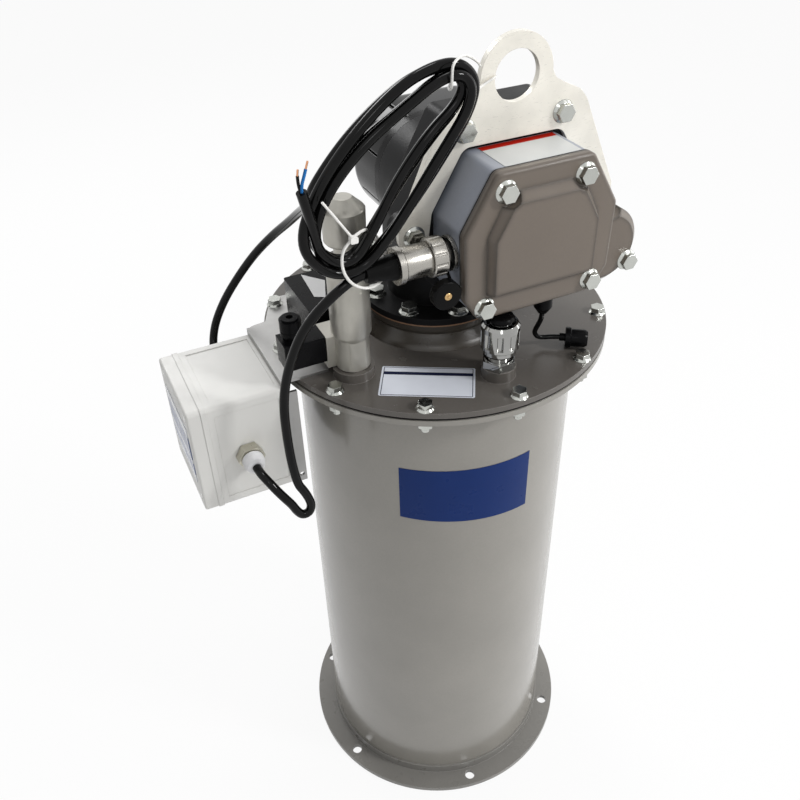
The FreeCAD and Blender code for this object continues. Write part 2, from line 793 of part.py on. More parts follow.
def gear_teeth(body, count, front, back):
    """Straight-flanked teeth on a root disc, repeated round the gear's own axis."""
    root = "gear_module * (%d / 2 - 1.25)" % count
    disc(body, "0", "0", root, front, back)
    tooth = new_sketch(body, "XZ_Plane", "-(%s)" % back)
    half = "(gear_module * 0.785 - gear_backlash / 2)"
    outline(tooth, [
        ("-(%s + 0.5 * gear_module)" % half, "%s - 0.6" % root),
        ("%s + 0.5 * gear_module" % half, "%s - 0.6" % root),
        (half, "gear_module * %d / 2" % count),
        ("%s - 0.4 * gear_module" % half, "gear_module * (%d / 2 + 0.95)" % count),
        ("-(%s - 0.4 * gear_module)" % half, "gear_module * (%d / 2 + 0.95)" % count),
        ("-" + half, "gear_module * %d / 2" % count),
    ])
    feature = pad(body, tooth, "(%s) - (%s)" % (back, front))
    pattern = body.newObject("PartDesign::PolarPattern", body.Label + "_teeth")
    pattern.Originals = [feature]
    axis = [item for item in body.Origin.OriginFeatures if item.Role == "Y_Axis"][0]
    pattern.Axis = (axis, [""])
    pattern.Angle = 360
    pattern.Occurrences = count
    body.Tip = pattern


def make_gears():
    """The crank gear turns in the bush; its pin stands toward the yoke's slot."""
    crank = new_body("crank_gear")
    teeth, small = int(SIZES["crank_teeth"]), int(SIZES["pinion_teeth"])
    gear_teeth(crank, teeth, "gear_front", "gear_back")
    disc(crank, "0", "0", "crank_shaft_dia / 2", "gear_back", "gear_plate_back")
    disc(crank, "0", "-crank_radius", "crank_pin_dia / 2", "yoke_back + pin_end_gap",
         "gear_front")
    place(crank, z="crank_z")
    bush = new_body("crank_bush")
    disc(bush, "0", "0", "bush_dia / 2", "case_back", "gear_plate_back")
    disc(bush, "0", "0", "bush_dia / 2 + 3", "case_back - 2", "case_back")
    bore(bush, [("0", "0", "crank_shaft_dia / 2 + running_gap")], "case_back - 2",
         "gear_plate_back")
    place(bush, z="crank_z")
    shaft = new_body("motor_shaft")
    gear_teeth(shaft, small, "gear_front", "gear_back")
    disc(shaft, "0", "0", "motor_shaft_dia / 2", "gear_back", "gear_plate_back + 40")
    turn = FreeCAD.Rotation(FreeCAD.Vector(0, 1, 0), mesh_turn(teeth, small))
    place(shaft, x="motor_x", z="crank_z", turn=turn)


def mesh_turn(teeth, small):
    """Turn that sets a gap of the pinion on a tooth of the crank gear."""
    on_gear = (teeth / 4.0) % 1.0
    on_pinion = (3.0 * small / 4.0) % 1.0
    return 360.0 / small * (on_gear + 0.5 + on_pinion)


def make_motor():
    body = new_body("motor_body")
    disc(body, "0", "0", "motor_dia / 2", "gear_plate_back", "gear_plate_back + motor_length")
    soften(body, "3", lambda edge: not along(edge, 1))
    bore(body, [("0", "0", "motor_shaft_dia / 2 + running_gap")], "gear_plate_back",
         "gear_plate_back + 42")
    place(body, x="motor_x", z="crank_z")


def make_motor_cover():
    """A deep moulded cover with rounded corners and a domed back over the motor."""
    body = new_body("motor_cover")
    rounded_block(body, "gear_plate_back", "motor_cover_back")
    doc.recompute()
    back = number("motor_cover_back")
    soften(body, "motor_cover_dome", lambda edge: edge.BoundBox.YMin > back - 0.01)
    dome = "motor_cover_back - motor_cover_dome - 4"
    slab_cut(body, inside_block("motor_cover_wall"), "gear_plate_back", dome)
    bore(body, [("motor_x", "crank_z", "motor_dia / 2 + 3")], dome, "motor_cover_back - 14")


# Lifting plate, side casing and their bolts


def make_lifting_plate():
    """A flat plate with a lifting eye that straddles the control housing."""
    body = new_body("lifting_plate")
    gap = "plate_arch_gap"
    arch = [
        ("housing_top_half + 0.6 * %s" % gap, "housing_top + %s" % gap),
        ("housing_side_half + %s" % gap, "housing_side_height + 0.3 * %s" % gap),
        ("plate_low_half - plate_ear_radius", "plate_low_height"),
    ]
    ear = "plate_low_half + plate_ear_radius"
    side = [
        ("plate_ring_radius", "plate_ring_height"),
        ("plate_ring_radius + 3", "plate_ring_height - 7"),
        ("plate_ring_radius + 14", "plate_ring_height - 13.5"),
        ("plate_bolt_half + 17", "plate_bolt_height + 17.5"),
        ("plate_bolt_half + 25", "plate_bolt_height + 8"),
        (ear, "plate_low_height + 8"),
        (ear, "plate_low_height"),
    ]
    slab(body, mirrored_outline(side + arch[::-1]), "plate_front", "case_front")
    doc.recompute()
    crown = number("lid_top") + number("plate_ring_height")
    soften(body, "12", lambda edge: along(edge, 1) and edge.Vertexes[0].Z < crown - 5
           and edge.Vertexes[0].Z > number("lid_top") + number("housing_side_height") - 4)
    disc(body, "drive_x", "lid_top + plate_ring_height", "plate_ring_radius", "plate_front",
         "case_front")
    for side_sign in ("-", "+"):
        disc(body, "drive_x %s plate_low_half" % side_sign, "lid_top + plate_low_height",
             "plate_ear_radius", "plate_front", "case_front")
    holes = [("drive_x + (%s)" % across, "lid_top + (%s)" % up, "big_bolt_dia / 2 + 0.3")
             for across, up in plate_bolt_points()]
    bore(body, holes, "plate_front", "case_front")
    bore(body, [("drive_x", "lid_top + plate_ring_height", "plate_hole_dia / 2")],
         "plate_front", "case_front")


def make_side_casing():
    """A rounded casing on the right flank, scalloped round the plate's ear."""
    body = new_body("side_casing")
    centre = ("casing_x", "lid_top + casing_height")
    disc(body, centre[0], centre[1], "casing_radius", "casing_front", "case_front")
    doc.recompute()
    face = number("casing_front")
    soften(body, "7", lambda edge: abs(edge.Vertexes[0].Y - face) < 0.01
           and not along(edge, 1), "PartDesign::Chamfer")
    slab_cut(body, mirrored_outline(housing_side("0.5")), "casing_front", "case_front")
    bore(body, [("drive_x + plate_low_half", "lid_top + plate_low_height",
                 "plate_ear_radius + 0.5")], "casing_front", "case_front")
    bore(body, [("casing_x + %s * casing_radius" % CASING_BOLT[0],
                 "lid_top + casing_height + (%s) * casing_radius" % CASING_BOLT[1],
                 "big_bolt_dia / 2")], "casing_front", "casing_front + big_bolt_length + 1")


def make_base_bolts():
    short = hex_bolt("base_bolt", "big_bolt_dia", "big_bolt_flats", "big_bolt_head",
                     "big_bolt_flange", "base_ring_thick - 0.5")
    spots = ring_spots(number("base_bolt_circle"), BASE_BOLTS, number("ring_top"),
                       number("base_bolt_start"))
    copies("base_bolts", short, spots)


def front_spots(points, front):
    """Places for bolts that face -Y, from (across, up) formulas about the drive's centre."""
    middle, low = number("drive_x"), number("lid_top")
    seats = []
    for across, up in points:
        sign = -1 if across.startswith("-") else 1
        x = middle + sign * number(across.lstrip("-"))
        seats.append(spot(x, number(front), low + number(up), TO_FRONT))
    return seats


def make_drive_bolts():
    """Equal flange bolts on the lifting plate, on the front cover and on the side casing."""
    bolt = hex_bolt("big_bolt", "big_bolt_dia", "big_bolt_flats", "big_bolt_head",
                    "big_bolt_flange", "big_bolt_length")
    seats = front_spots(plate_bolt_points(), "plate_front")
    seats += front_spots(cover_bolt_points(), "flange_front")
    side_x = number("casing_x") + CASING_BOLT[0] * number("casing_radius")
    side_z = number("casing_height") + CASING_BOLT[1] * number("casing_radius")
    seats.append(spot(side_x, number("casing_front"), number("lid_top") + side_z, TO_FRONT))
    copies("drive_bolts", bolt, seats)


# Control housing, its cover and the cable connector


def housing_side(outset):
    return [
        ("housing_top_half + 0.6 * %s" % outset, "housing_top + %s" % outset),
        ("housing_side_half + %s" % outset, "housing_side_height + 0.3 * %s" % outset),
        ("housing_low_half + %s" % outset, "housing_low_height - 0.3 * %s" % outset),
        ("housing_foot_half + 0.6 * %s" % outset, "housing_bottom - %s" % outset),
    ]


def cover_bolt_points():
    return [("-cover_bolt_top_half", "cover_bolt_top"), ("cover_bolt_top_half", "cover_bolt_top"),
            ("-cover_bolt_foot_half", "cover_bolt_foot"),
            ("cover_bolt_foot_half", "cover_bolt_foot")]


def cover_circles(radius):
    return [("drive_x + (%s)" % across, "lid_top + (%s)" % up, radius)
            for across, up in cover_bolt_points()]


def make_control_housing():
    """An open-fronted casting with four screw bosses and a hole for the connector."""
    body = new_body("control_housing")
    slab(body, mirrored_outline(housing_side("0")), "housing_front", "case_front")
    soften(body, "9", lambda edge: along(edge, 1))
    slab_cut(body, mirrored_outline(housing_side("(-housing_wall)")), "housing_front",
             "case_front - housing_wall")
    for across, up, radius in cover_circles("big_bolt_dia / 2 + 4"):
        disc(body, across, up, radius, "housing_front", "case_front - housing_wall")
    bore(body, cover_circles("big_bolt_dia / 2"), "housing_front",
         "housing_front + big_bolt_length + 1")
    boss = new_sketch(body, "YZ_Plane", "connector_face")
    circle(boss, "connector_y", "lid_top + connector_height", "16.2")
    pad(body, boss, "4.5")
    window = new_sketch(body, "YZ_Plane", "connector_face + 14")
    circle(window, "connector_y", "lid_top + connector_height", "11.5")
    pocket(body, window, "20")
    gland = new_sketch(body, "XY_Plane", "lid_top + housing_bottom + housing_wall + 1")
    circle(gland, "sensor_gland_x", "sensor_gland_y", "6")
    pocket(body, gland, "housing_wall + 2")


def make_cover_seal():
    body = new_body("cover_seal")
    slab(body, mirrored_outline(housing_side("0.6")), "seal_front", "housing_front")
    soften(body, "9", lambda edge: along(edge, 1))
    slab_cut(body, mirrored_outline(housing_side("(-housing_wall)")), "seal_front",
             "housing_front")


def make_front_cover():
    """A cast cover with a raised panel, scalloped where the four bolts seat."""
    body = new_body("front_cover")
    slab(body, mirrored_outline(housing_side("0.8")), "flange_front", "seal_front")
    soften(body, "9", lambda edge: along(edge, 1))
    doc.recompute()
    face = number("flange_front")
    soften(body, "3.5", lambda edge: all(abs(v.Y - face) < 0.01 for v in edge.Vertexes))
    inset = "cover_panel_inset"
    foot = [("housing_top_half - 0.5 * %s" % inset, "housing_top - 0.85 * %s" % inset),
            ("housing_side_half - 1.05 * %s" % inset, "housing_side_height - 0.2 * %s" % inset),
            ("housing_low_half - %s" % inset, "housing_low_height - 0.05 * %s" % inset)]
    crown = [("housing_top_half - 0.675 * %s" % inset, "housing_top - 1.3 * %s" % inset),
             ("housing_side_half - 1.275 * %s" % inset,
              "housing_side_height - 0.35 * %s" % inset),
             ("housing_low_half - 1.2 * %s" % inset, "housing_low_height + 0.25 * %s" % inset)]
    low = new_sketch(body, "XZ_Plane", "-(flange_front + 1)")
    outline(low, mirrored_outline(foot))
    high = new_sketch(body, "XZ_Plane", "-(flange_front - cover_panel_rise)")
    outline(high, mirrored_outline(crown))
    loft = body.newObject("PartDesign::AdditiveLoft", "front_cover_panel")
    loft.Profile = low
    loft.Sections = [high]
    loft.Ruled = True
    bore(body, cover_circles("big_bolt_flange / 2 + 2.5"), "flange_front - cover_panel_rise - 1",
         "flange_front")
    bore(body, cover_circles("big_bolt_dia / 2 + 0.2"), "flange_front", "seal_front")
    slab_cut(body, mirrored_outline(crown), "seal_front - 6", "seal_front")


def on_connector(body):
    place(body, x="connector_face", y="connector_y", z="lid_top + connector_height",
          turn=TO_LEFT)


def make_connector():
    """Round metal cable connector; its coupling ring turns on the receptacle."""
    receptacle = new_body("connector_receptacle")
    turn_profile(receptacle, [
        ("8.5", "-8"), ("11.4", "-8"), ("11.4", "0"), ("16", "0"), ("16", "3.5"),
        ("12", "3.5"), ("12", "14"), ("8.5", "14"),
    ])
    on_connector(receptacle)
    ring = new_body("coupling_ring")
    turn_profile(ring, [
        ("12 + running_gap", "9"), ("17", "9"), ("18", "10"), ("18", "22"), ("17", "23"),
        ("12 + running_gap", "23"),
    ])
    groove = new_sketch(ring, "XY_Plane", "22")
    circle(groove, "19.2", "0", "2")
    cut = pocket(ring, groove, "11")
    polar(ring, cut, 12)
    on_connector(ring)
    shell = new_body("connector_shell")
    turn_profile(shell, [
        ("0", "14.2"), ("12", "14.2"), ("12", "23.2"), ("14.5", "23.2"), ("15", "24.2"),
        ("15", "48"), ("17", "49.5"), ("17", "55"), ("0", "55"),
    ])
    on_connector(shell)
    boot = new_body("connector_boot")
    turn_profile(boot, [
        ("0", "55"), ("12", "55"), ("11.5", "61"), ("9.5", "69"), ("8", "83"), ("0", "83"),
    ])
    on_connector(boot)


def make_dust_cap():
    """Rubber dust cap hanging by its own strap from the receptacle's neck."""
    body = new_body("dust_cap")
    loop = new_sketch(body, "YZ_Plane", "connector_face - 5.3")
    circle(loop, "connector_y", "lid_top + connector_height", "14.5")
    circle(loop, "connector_y", "lid_top + connector_height", "12.2")
    pad(body, loop, "1.5")
    strap = new_sketch(body, "YZ_Plane", "connector_face - 5.3")
    outline(strap, [("connector_y - 21", "lid_top + connector_height - 31"),
                    ("connector_y - 16", "lid_top + connector_height - 31"),
                    ("connector_y + 2.5", "lid_top + connector_height - 13"),
                    ("connector_y - 2.5", "lid_top + connector_height - 13")])
    pad(body, strap, "1.5")
    cap = new_sketch(body, "XZ_Plane", "-(connector_y - 18)")
    circle(cap, "connector_face - 16", "lid_top + connector_height - 27", "14")
    pad(body, cap, "9")
    doc.recompute()
    face = number("connector_y") - 27
    soften(body, "2", lambda edge: not along(edge, 2) and abs(edge.Vertexes[0].Y - face) < 0.01
           and isinstance(edge.Curve, Part.Circle))


# Fill coupler, shut-off valve and its plug


def hexagon_points(flats, x, y):
    corners = []
    for step in range(6):
        angle = math.radians(60 * step)
        corners.append(("%s + %.6f * (%s)" % (x, math.cos(angle) / math.sqrt(3), flats),
                        "%s + %.6f * (%s)" % (y, math.sin(angle) / math.sqrt(3), flats)))
    return corners


def make_coupler():
    """Quick coupler: hexagon, inner tube, a fluted sleeve that slides and a plug on top."""
    base = "lid_top + coupler_boss_height"
    body = new_body("coupler_body")
    hexagon = new_sketch(body, "XY_Plane", base)
    outline(hexagon, hexagon_points("coupler_hex_flats", "0", "coupler_y"))
    pad(body, hexagon, "coupler_hex_height")
    for radius, height in (("14.5", "1.5"), ("11", "6 + coupler_sleeve_height")):
        tube = new_sketch(body, "XY_Plane", base + " + coupler_hex_height")
        circle(tube, "0", "coupler_y", radius)
        pad(body, tube, height)
    sleeve = new_body("coupler_sleeve")
    half = "coupler_sleeve_dia / 2"
    tall = "coupler_sleeve_height"
    turn_profile(sleeve, [
        ("11 + running_gap", "0"), (half + " - 4", "0"), (half + " - 2.5", "2"),
        (half + " - 2.5", "6"), (half, "8"), (half, tall + " - 3"),
        (half + " - 2", tall), (half + " - 4", tall), (half + " - 4", tall + " - 5"),
        ("11 + running_gap", tall + " - 5"),
    ])
    flute = new_sketch(sleeve, "XY_Plane", tall + " - 8")
    circle(flute, half + " + 1.6", "0", "3.6")
    cut = pocket(sleeve, flute, tall + " - 19")
    polar(sleeve, cut, 9)
    place(sleeve, y="coupler_y", z="coupler_sleeve_base")
    plug = new_body("coupler_plug")
    turn_profile(plug, [
        ("0", "0"), ("10.5", "0"), ("10.5", "2"), ("13", "2.5"), ("13", "5"), ("11.5", "6.5"),
        ("0", "6.5"),
    ])
    place(plug, y="coupler_y", z="coupler_sleeve_base + coupler_sleeve_height")


def make_valve():
    """Shut-off valve column: flat-sided foot, barrel, stem and a conical cap."""
    body = new_body("valve_body")
    half = "valve_dia / 2"
    turn_profile(body, [
        ("0", "0"), (half + " - 5", "0"), (half + " - 3", "1.5"), (half + " - 3", "34"),
        (half, "40"), (half, "100"), (half + " - 3", "104"), ("0", "104"),
    ])
    block = new_sketch(body, "XY_Plane", "1")
    outline(block, [("-25", "3"), ("-7", "3"), ("-7", "32"), ("-25", "32")])
    pad(body, block, "34")
    side = new_sketch(body, "XZ_Plane", "valve_dia / 2 + 1")
    outline(side, [("-valve_dia", "-1"), ("valve_dia", "-1"), ("valve_dia", "34"),
                   ("-valve_dia", "34")])
    pocket(body, side, "6")
    place(body, x="valve_x", y="valve_y", z="lid_top + valve_boss_height")
    stem = new_body("valve_stem")
    stem_half = "valve_stem_dia / 2"
    turn_profile(stem, [
        ("0", "0"), (stem_half + " + 3", "0"), (stem_half + " + 3", "4"), (stem_half, "5"),
        (stem_half, "29"), ("0", "29"),
    ])
    place(stem, x="valve_x", y="valve_y", z="lid_top + valve_boss_height + 104")
    cap = new_body("valve_cap")
    cap_half = "valve_cap_dia / 2"
    turn_profile(cap, [
        ("0", "0"), (cap_half + " - 2", "0"), (cap_half + " - 0.5", "2"), (cap_half, "31"),
        (cap_half + " - 1.5", "33"), ("9.5", "41"), ("8.5", "42"), ("0", "42"),
    ])
    place(cap, x="valve_x", y="valve_y", z="lid_top + valve_boss_height + 133")


def make_din_plug():
    """Rectangular cable plug on the valve's side block, with an empty screwed gland."""
    body = new_body("din_plug")
    flat = new_sketch(body, "XY_Plane", "3")
    outline(flat, [("-66", "3"), ("-25", "3"), ("-25", "33"), ("-66", "33")])
    pad(body, flat, "28")
    soften(body, "3", lambda edge: along(edge, 2) or along(edge, 0))
    for radius, start, height in (("9", "31", "6"), ("10.5", "36", "4"), ("10", "40", "2"),
                                  ("10.5", "42", "10"), ("8.5", "52", "2")):
        ring = new_sketch(body, "XY_Plane", start)
        circle(ring, "-53.5", "19", radius)
        pad(body, ring, height)
    drill(body, "-53.5", "19", "3.5", "54", "12")
    place(body, x="valve_x", y="valve_y", z="lid_top + valve_boss_height + 5")


def make_coil_block():
    body = new_body("coil_block")
    flat = new_sketch(body, "XY_Plane", "0")
    left, right = "bracket_x + 48", "-pedestal_foot_dia / 2 - 24"
    outline(flat, [(left, "-19"), (right, "-19"), (right, "60"), (left, "60")])
    pad(body, flat, "45")
    soften(body, "3", lambda edge: along(edge, 2))
    place(body, z="lid_top + bracket_thick")


# Control box on its bracket


def make_bracket():
    """A folded sheet bracket under two lid bolts carries the control box."""
    body = new_body("box_bracket")
    top = new_sketch(body, "XY_Plane", "lid_top")
    outline(top, [
        ("bracket_x", "bracket_front"), ("bracket_x", "bracket_back - 2"),
        ("bracket_x + 7", "bracket_back + 2"), ("bracket_x + 22", "bracket_back + 4"),
        ("bracket_x + 37", "bracket_back + 36"), ("bracket_x + 48", "bracket_back + 47"),
        ("bracket_x + 62", "bracket_back + 47"), ("bracket_x + 78", "bracket_back + 20"),
        ("bracket_x + 78", "bracket_front + 50"), ("bracket_x + 50", "bracket_front + 20"),
        ("bracket_x + 50", "bracket_front"),
    ])
    pad(body, top, "bracket_thick")
    leg = new_sketch(body, "XZ_Plane", "-bracket_back")
    outline(leg, [
        ("bracket_x", "lid_top + box_top - box_height"),
        ("bracket_x + bracket_thick", "lid_top + box_top - box_height"),
        ("bracket_x + bracket_thick", "lid_top + bracket_thick"),
        ("bracket_x", "lid_top + bracket_thick"),
    ])
    pad(body, leg, "bracket_back - bracket_front")
    lip = new_sketch(body, "XZ_Plane", "-(bracket_front + bracket_thick)")
    foot = "lid_top + box_top - box_height"
    outline(lip, [("bracket_x", foot), ("bracket_x + 15", foot),
                  ("bracket_x + 15", "lid_top - 12"), ("bracket_x", "lid_top - 12")])
    pad(body, lip, "bracket_thick")
    hole = new_sketch(body, "XZ_Plane", "-bracket_front")
    circle(hole, "bracket_x + 10", foot + " + 9", "2.6")
    pocket(body, hole, "bracket_thick")
    holes = new_sketch(body, "XY_Plane", "lid_top + bracket_thick")
    for angle in map(math.radians, BRACKET_ANGLES):
        circle(holes, "lid_bolt_circle / 2 * (%.9f)" % math.cos(angle),
               "lid_bolt_circle / 2 * (%.9f)" % math.sin(angle), "lid_hole_dia / 2")
    pocket(body, holes, "bracket_thick")
    screw_holes(body, "bracket_x + bracket_thick", "bracket_thick")


def box_screw_points():
    return [(y, z) for y in ("box_front + box_screw_in", "box_back - box_screw_in")
            for z in ("lid_top + box_top - box_screw_up",
                      "lid_top + box_top - box_height + box_screw_up")]


def screw_holes(body, face, depth):
    """Four screw holes along X, cut from a face towards -X."""
    sketch = new_sketch(body, "YZ_Plane", face)
    for along_y, up in box_screw_points():
        circle(sketch, along_y, up, "2.1")
    pocket(body, sketch, depth)


def box_block(body, plane_x, inset="0"):
    """The box's section, inset by a wall, as a sketch on an X plane."""
    sketch = new_sketch(body, "YZ_Plane", plane_x)
    outline(sketch, [
        ("box_front + %s" % inset, "lid_top + box_top - box_height + %s" % inset),
        ("box_back - %s" % inset, "lid_top + box_top - box_height + %s" % inset),
        ("box_back - %s" % inset, "lid_top + box_top - %s" % inset),
        ("box_front + %s" % inset, "lid_top + box_top - %s" % inset),
    ])
    return sketch


def make_box():
    """Moulded box with shallow sunk panels; its cover faces -X."""
    body = new_body("box_base")
    pad(body, box_block(body, "box_cover_x"), "box_depth")
    pad(body, box_block(body, "box_cover_x", "(-0.7)"), "5.5")
    soften(body, "5", lambda edge: along(edge, 0))
    top = new_sketch(body, "XY_Plane", "lid_top + box_top")
    outline(top, [("box_cover_x + 12", "box_front + 11"), ("bracket_x - 4", "box_front + 11"),
                  ("bracket_x - 4", "box_back - 11"), ("box_cover_x + 12", "box_back - 11")])
    pocket(body, top, "0.8")
    front = new_sketch(body, "XZ_Plane", "-box_front")
    low, high = "lid_top + box_top - box_height + 11", "lid_top + box_top - 11"
    outline(front, [("box_cover_x + 12", low), ("bracket_x - 4", low), ("bracket_x - 4", high),
                    ("box_cover_x + 12", high)])
    pocket(body, front, "0.8")
    hollow = box_block(body, "bracket_x - box_wall", "box_wall")
    pocket(body, hollow, "box_depth - box_wall")
    screw_holes(body, "bracket_x", "box_wall")
    for x, y, z in (("front_gland_x", "box_front", "front_gland_height"),
                    ("rear_gland_x", "box_back", "rear_gland_height")):
        hole = new_sketch(body, "XZ_Plane", "-(%s) + 4" % y)
        circle(hole, x, "lid_top + %s" % z, "7")
        pocket(body, hole, "8")
    cover = new_body("box_cover")
    sketch = box_block(cover, "box_cover_x - box_cover_depth")
    pad(cover, sketch, "box_cover_depth")
    soften(cover, "5", lambda edge: along(edge, 0))
    doc.recompute()
    face = number("box_cover_x") - number("box_cover_depth")
    soften(cover, "2.5", lambda edge: all(abs(v.X - face) < 0.01 for v in edge.Vertexes))
    inner = box_block(cover, "box_cover_x", "box_wall")
    pocket(cover, inner, "box_cover_depth - box_wall")
    screw_holes(cover, "box_cover_x - box_cover_depth + box_wall", "box_wall")
    seats = new_sketch(cover, "YZ_Plane", "box_cover_x - box_cover_depth + 1.8")
    for along_y, up in box_screw_points():
        circle(seats, along_y, up, "4.6")
    pocket(cover, seats, "2")
    panel = new_body("display_panel")
    sketch = new_sketch(panel, "YZ_Plane", "box_cover_x - box_cover_depth - 0.8")
    low, high = "lid_top + box_top - box_height + 30", "lid_top + box_top - 26"
    outline(sketch, [("box_front + 14", low), ("box_back - 14", low), ("box_back - 14", high),
                     ("box_front + 14", high)])
    pad(panel, sketch, "0.8")


def make_box_screws():
    """Equal pan-head screws: four in the cover and four through the bracket."""
    head = Part.makeCylinder(4, 1.8)
    shank = Part.makeCylinder(2, 7, FreeCAD.Vector(0, 0, -6.5))
    master = doc.addObject("Part::Feature", "pan_screw")
    master.Shape = head.fuse(shank).removeSplitter()
    low = number("lid_top") + number("box_top")
    inset, up = number("box_screw_in"), number("box_screw_up")
    depths = [number("box_front") + inset, number("box_back") - inset]
    heights = [low - up, low - number("box_height") + up]
    cover_face = number("box_cover_x") - number("box_cover_depth") + 1.8
    bracket_face = number("bracket_x") + number("bracket_thick")
    spots = []
    for y in depths:
        for z in heights:
            spots.append(spot(cover_face, y, z, TO_LEFT))
            spots.append(spot(bracket_face, y, z, TO_LEFT.inverted()))
    copies("box_screws", master, spots)


def make_gland(label, x, y, z, turn):
    """Cable gland: hexagon on the wall and a domed nut that grips the lead."""
    body = new_body(label)
    hexagon = new_sketch(body, "XY_Plane", "0")
    outline(hexagon, hexagon_points("gland_flats + 4", "0", "0"))
    pad(body, hexagon, "11")
    turn_profile(body, [
        ("0", "-6"), ("6.9", "-6"), ("6.9", "0"), ("gland_flats / 2 - 1", "0"),
        ("gland_flats / 2 - 1", "11"), ("gland_flats / 2 + 1", "12"),
        ("gland_flats / 2 + 1", "18"), ("gland_flats / 2 - 1", "23"),
        ("lead_dia / 2 + 1.5", "25"), ("0", "25"),
    ])
    place(body, x=x, y=y, z=z, turn=turn)


def make_sensor():
    """A level sensor plug on the lid and the gland under the housing for its lead."""
    gland = new_body("sensor_gland")
    turn_profile(gland, [
        ("0", "-26"), ("sensor_lead_dia / 2 + 2", "-26"), ("9", "-19"), ("9", "-2"),
        ("10", "-2"), ("10", "0"), ("5.9", "0"), ("5.9", "4"), ("0", "4"),
    ])
    place(gland, x="sensor_gland_x", y="sensor_gland_y", z="lid_top + housing_bottom")
    plug = new_body("sensor_plug")
    turn_profile(plug, [
        ("0", "-6"), ("sensor_lead_dia / 2 + 1.5", "-6"), ("sensor_lead_dia / 2 + 1.5", "0"),
        ("10.5", "0"), ("10.5", "5"), ("9", "6"), ("9", "19"), ("7.5", "22"), ("0", "22"),
    ])
    place(plug, x="sensor_x", y="sensor_y", z="lid_top + 10.5", turn=ALONG_LID)


# Cords: routes by hand as (x, y, height over the lid), with arcs at their points


PUMP_LEAD = [
    (-237, -80, -70), (-236.5, -90, -70), (-232.5, -99, -73), (-226.5, -106, -82),
    (-221, -110.5, -94), (-217.5, -113, -106), (-213.4, -113, -108.4), (-208.7, -113, -107.5),
    (-205.7, -113, -103.7), (-206.2, -112, -95), (-207.5, -110.5, -80), (-208.5, -108, -60),
    (-209, -105, -40), (-208.7, -102.5, -20), (-207.8, -100, 1), (-204.9, -98.5, 22),
    (-199, -98.5, 45), (-187.5, -103.5, 78), (-175, -109, 99.5), (-159.4, -113.4, 116.3),
    (-145.4, -114, 125.8), (-134.3, -113.4, 130.8), (-125, -113, 132),
]
POWER_LEAD = [
    (-226, 81, -40), (-226, 93, -39), (-223, 102, -29), (-216, 105, -10), (-202, 103, 16),
    (-184, 97, 43), (-166, 86, 70), (-150, 66, 96), (-142, 38, 119), (-140, 8, 141),
    (-143, -24, 161), (-149, -54, 178), (-155, -78, 190), (-160, -98, 199),
]
POWER_TAIL = [
    (-152, -112, 149), (-157.5, -123, 155.5), (-163.5, -128, 167.5), (-168, -128, 186),
    (-174, -127, 209), (-178.5, -125, 226.5),
]
POWER_HANK = [
    (-180, -110, 169), (-161, -110, 206), (-127, -110, 246), (-88, -110, 274),
    (-56, -110, 290), (-36, -110, 291), (-23, -110, 277), (-26, -110, 254),
    (-46.5, -110, 220), (-77, -110, 184), (-115, -110, 158), (-155, -110, 144),
]
SENSOR_LEAD = [
    (58, -119, 44.5), (58, -119, 37), (55, -116.5, 27), (54.5, -113, 18.5),
    (59, -112.5, 11.5), (66, -114, 9.5), (73.2, -117.4, 10.2), (79.5, -121.8, 10.5),
]
LOWER_TIE = [
    (-135, -126, 170), (-145, -127, 150), (-141, -127, 133), (-129, -121, 117),
    (-116, -108, 110.5), (-109, -91, 120), (-112, -92, 148), (-122, -97, 170),
]
TIE_TAIL = [(-135, -126, 170), (-148.5, -126, 189), (-161, -126, 210)]
TIE_STRAP = [
    (-40, -97, 284), (-22, -93, 278), (-6, -89.5, 272.5), (4, -87.2, 269), (12.5, -86.15, 266.5),
]
UPPER_TIE = (-46, -110, 290.5)
TIE_RADIUS = 1.1


BRACKET_IN_ROUTES = -195.0
SENSOR_IN_ROUTE = FreeCAD.Vector(84.4, -125.2, 0)
FREE_HEIGHT = 100.0


def route(points):
    """A route's points; those beside the box keep their place to it and fade out upwards."""
    low = number("lid_top")
    moved = number("bracket_x") - BRACKET_IN_ROUTES
    placed = []
    for x, y, z in points:
        share = min(1.0, max(0.0, 1.0 - z / FREE_HEIGHT)) if x < 0 else 0.0
        placed.append(FreeCAD.Vector(x + moved * share, y, low + z))
    return placed


def corner(before, point, after):
    """The tangent arc at a route's point, as start, middle, end and radius."""
    run_in, run_out = point - before, after - point
    turn = run_in.getAngle(run_out)
    trim = 0.45 * min(run_in.Length, run_out.Length)
    radius = trim / math.tan(turn / 2)
    run_in.normalize()
    run_out.normalize()
    inward = run_out - run_in
    inward.normalize()
    middle = point + inward * (radius / math.cos(turn / 2) - radius)
    return point - run_in * trim, middle, point + run_out * trim, radius


def cord_wire(label, points, closed=False):
    """Straight runs joined by tangent arcs along a route."""
    count = len(points)
    inner = range(count) if closed else range(1, count - 1)
    arcs = [corner(points[index - 1], points[index], points[(index + 1) % count])
            for index in inner]
    print(label, "radii", [round(arc[3]) for arc in arcs])
    edges = []
    last = arcs[-1][2] if closed else points[0]
    for start, middle, end, radius in arcs:
        edges.append(Part.LineSegment(last, start).toShape())
        edges.append(Part.Arc(start, middle, end).toShape())
        last = end
    if not closed:
        edges.append(Part.LineSegment(last, points[-1]).toShape())
    return Part.Wire(edges)


def tube_on(wire, radius):
    start = wire.Edges[0]
    heading = start.tangentAt(start.FirstParameter)
    ring = Part.Wire(Part.Circle(start.valueAt(start.FirstParameter), heading, radius).toShape())
    return wire.makePipeShell([ring], True, False)


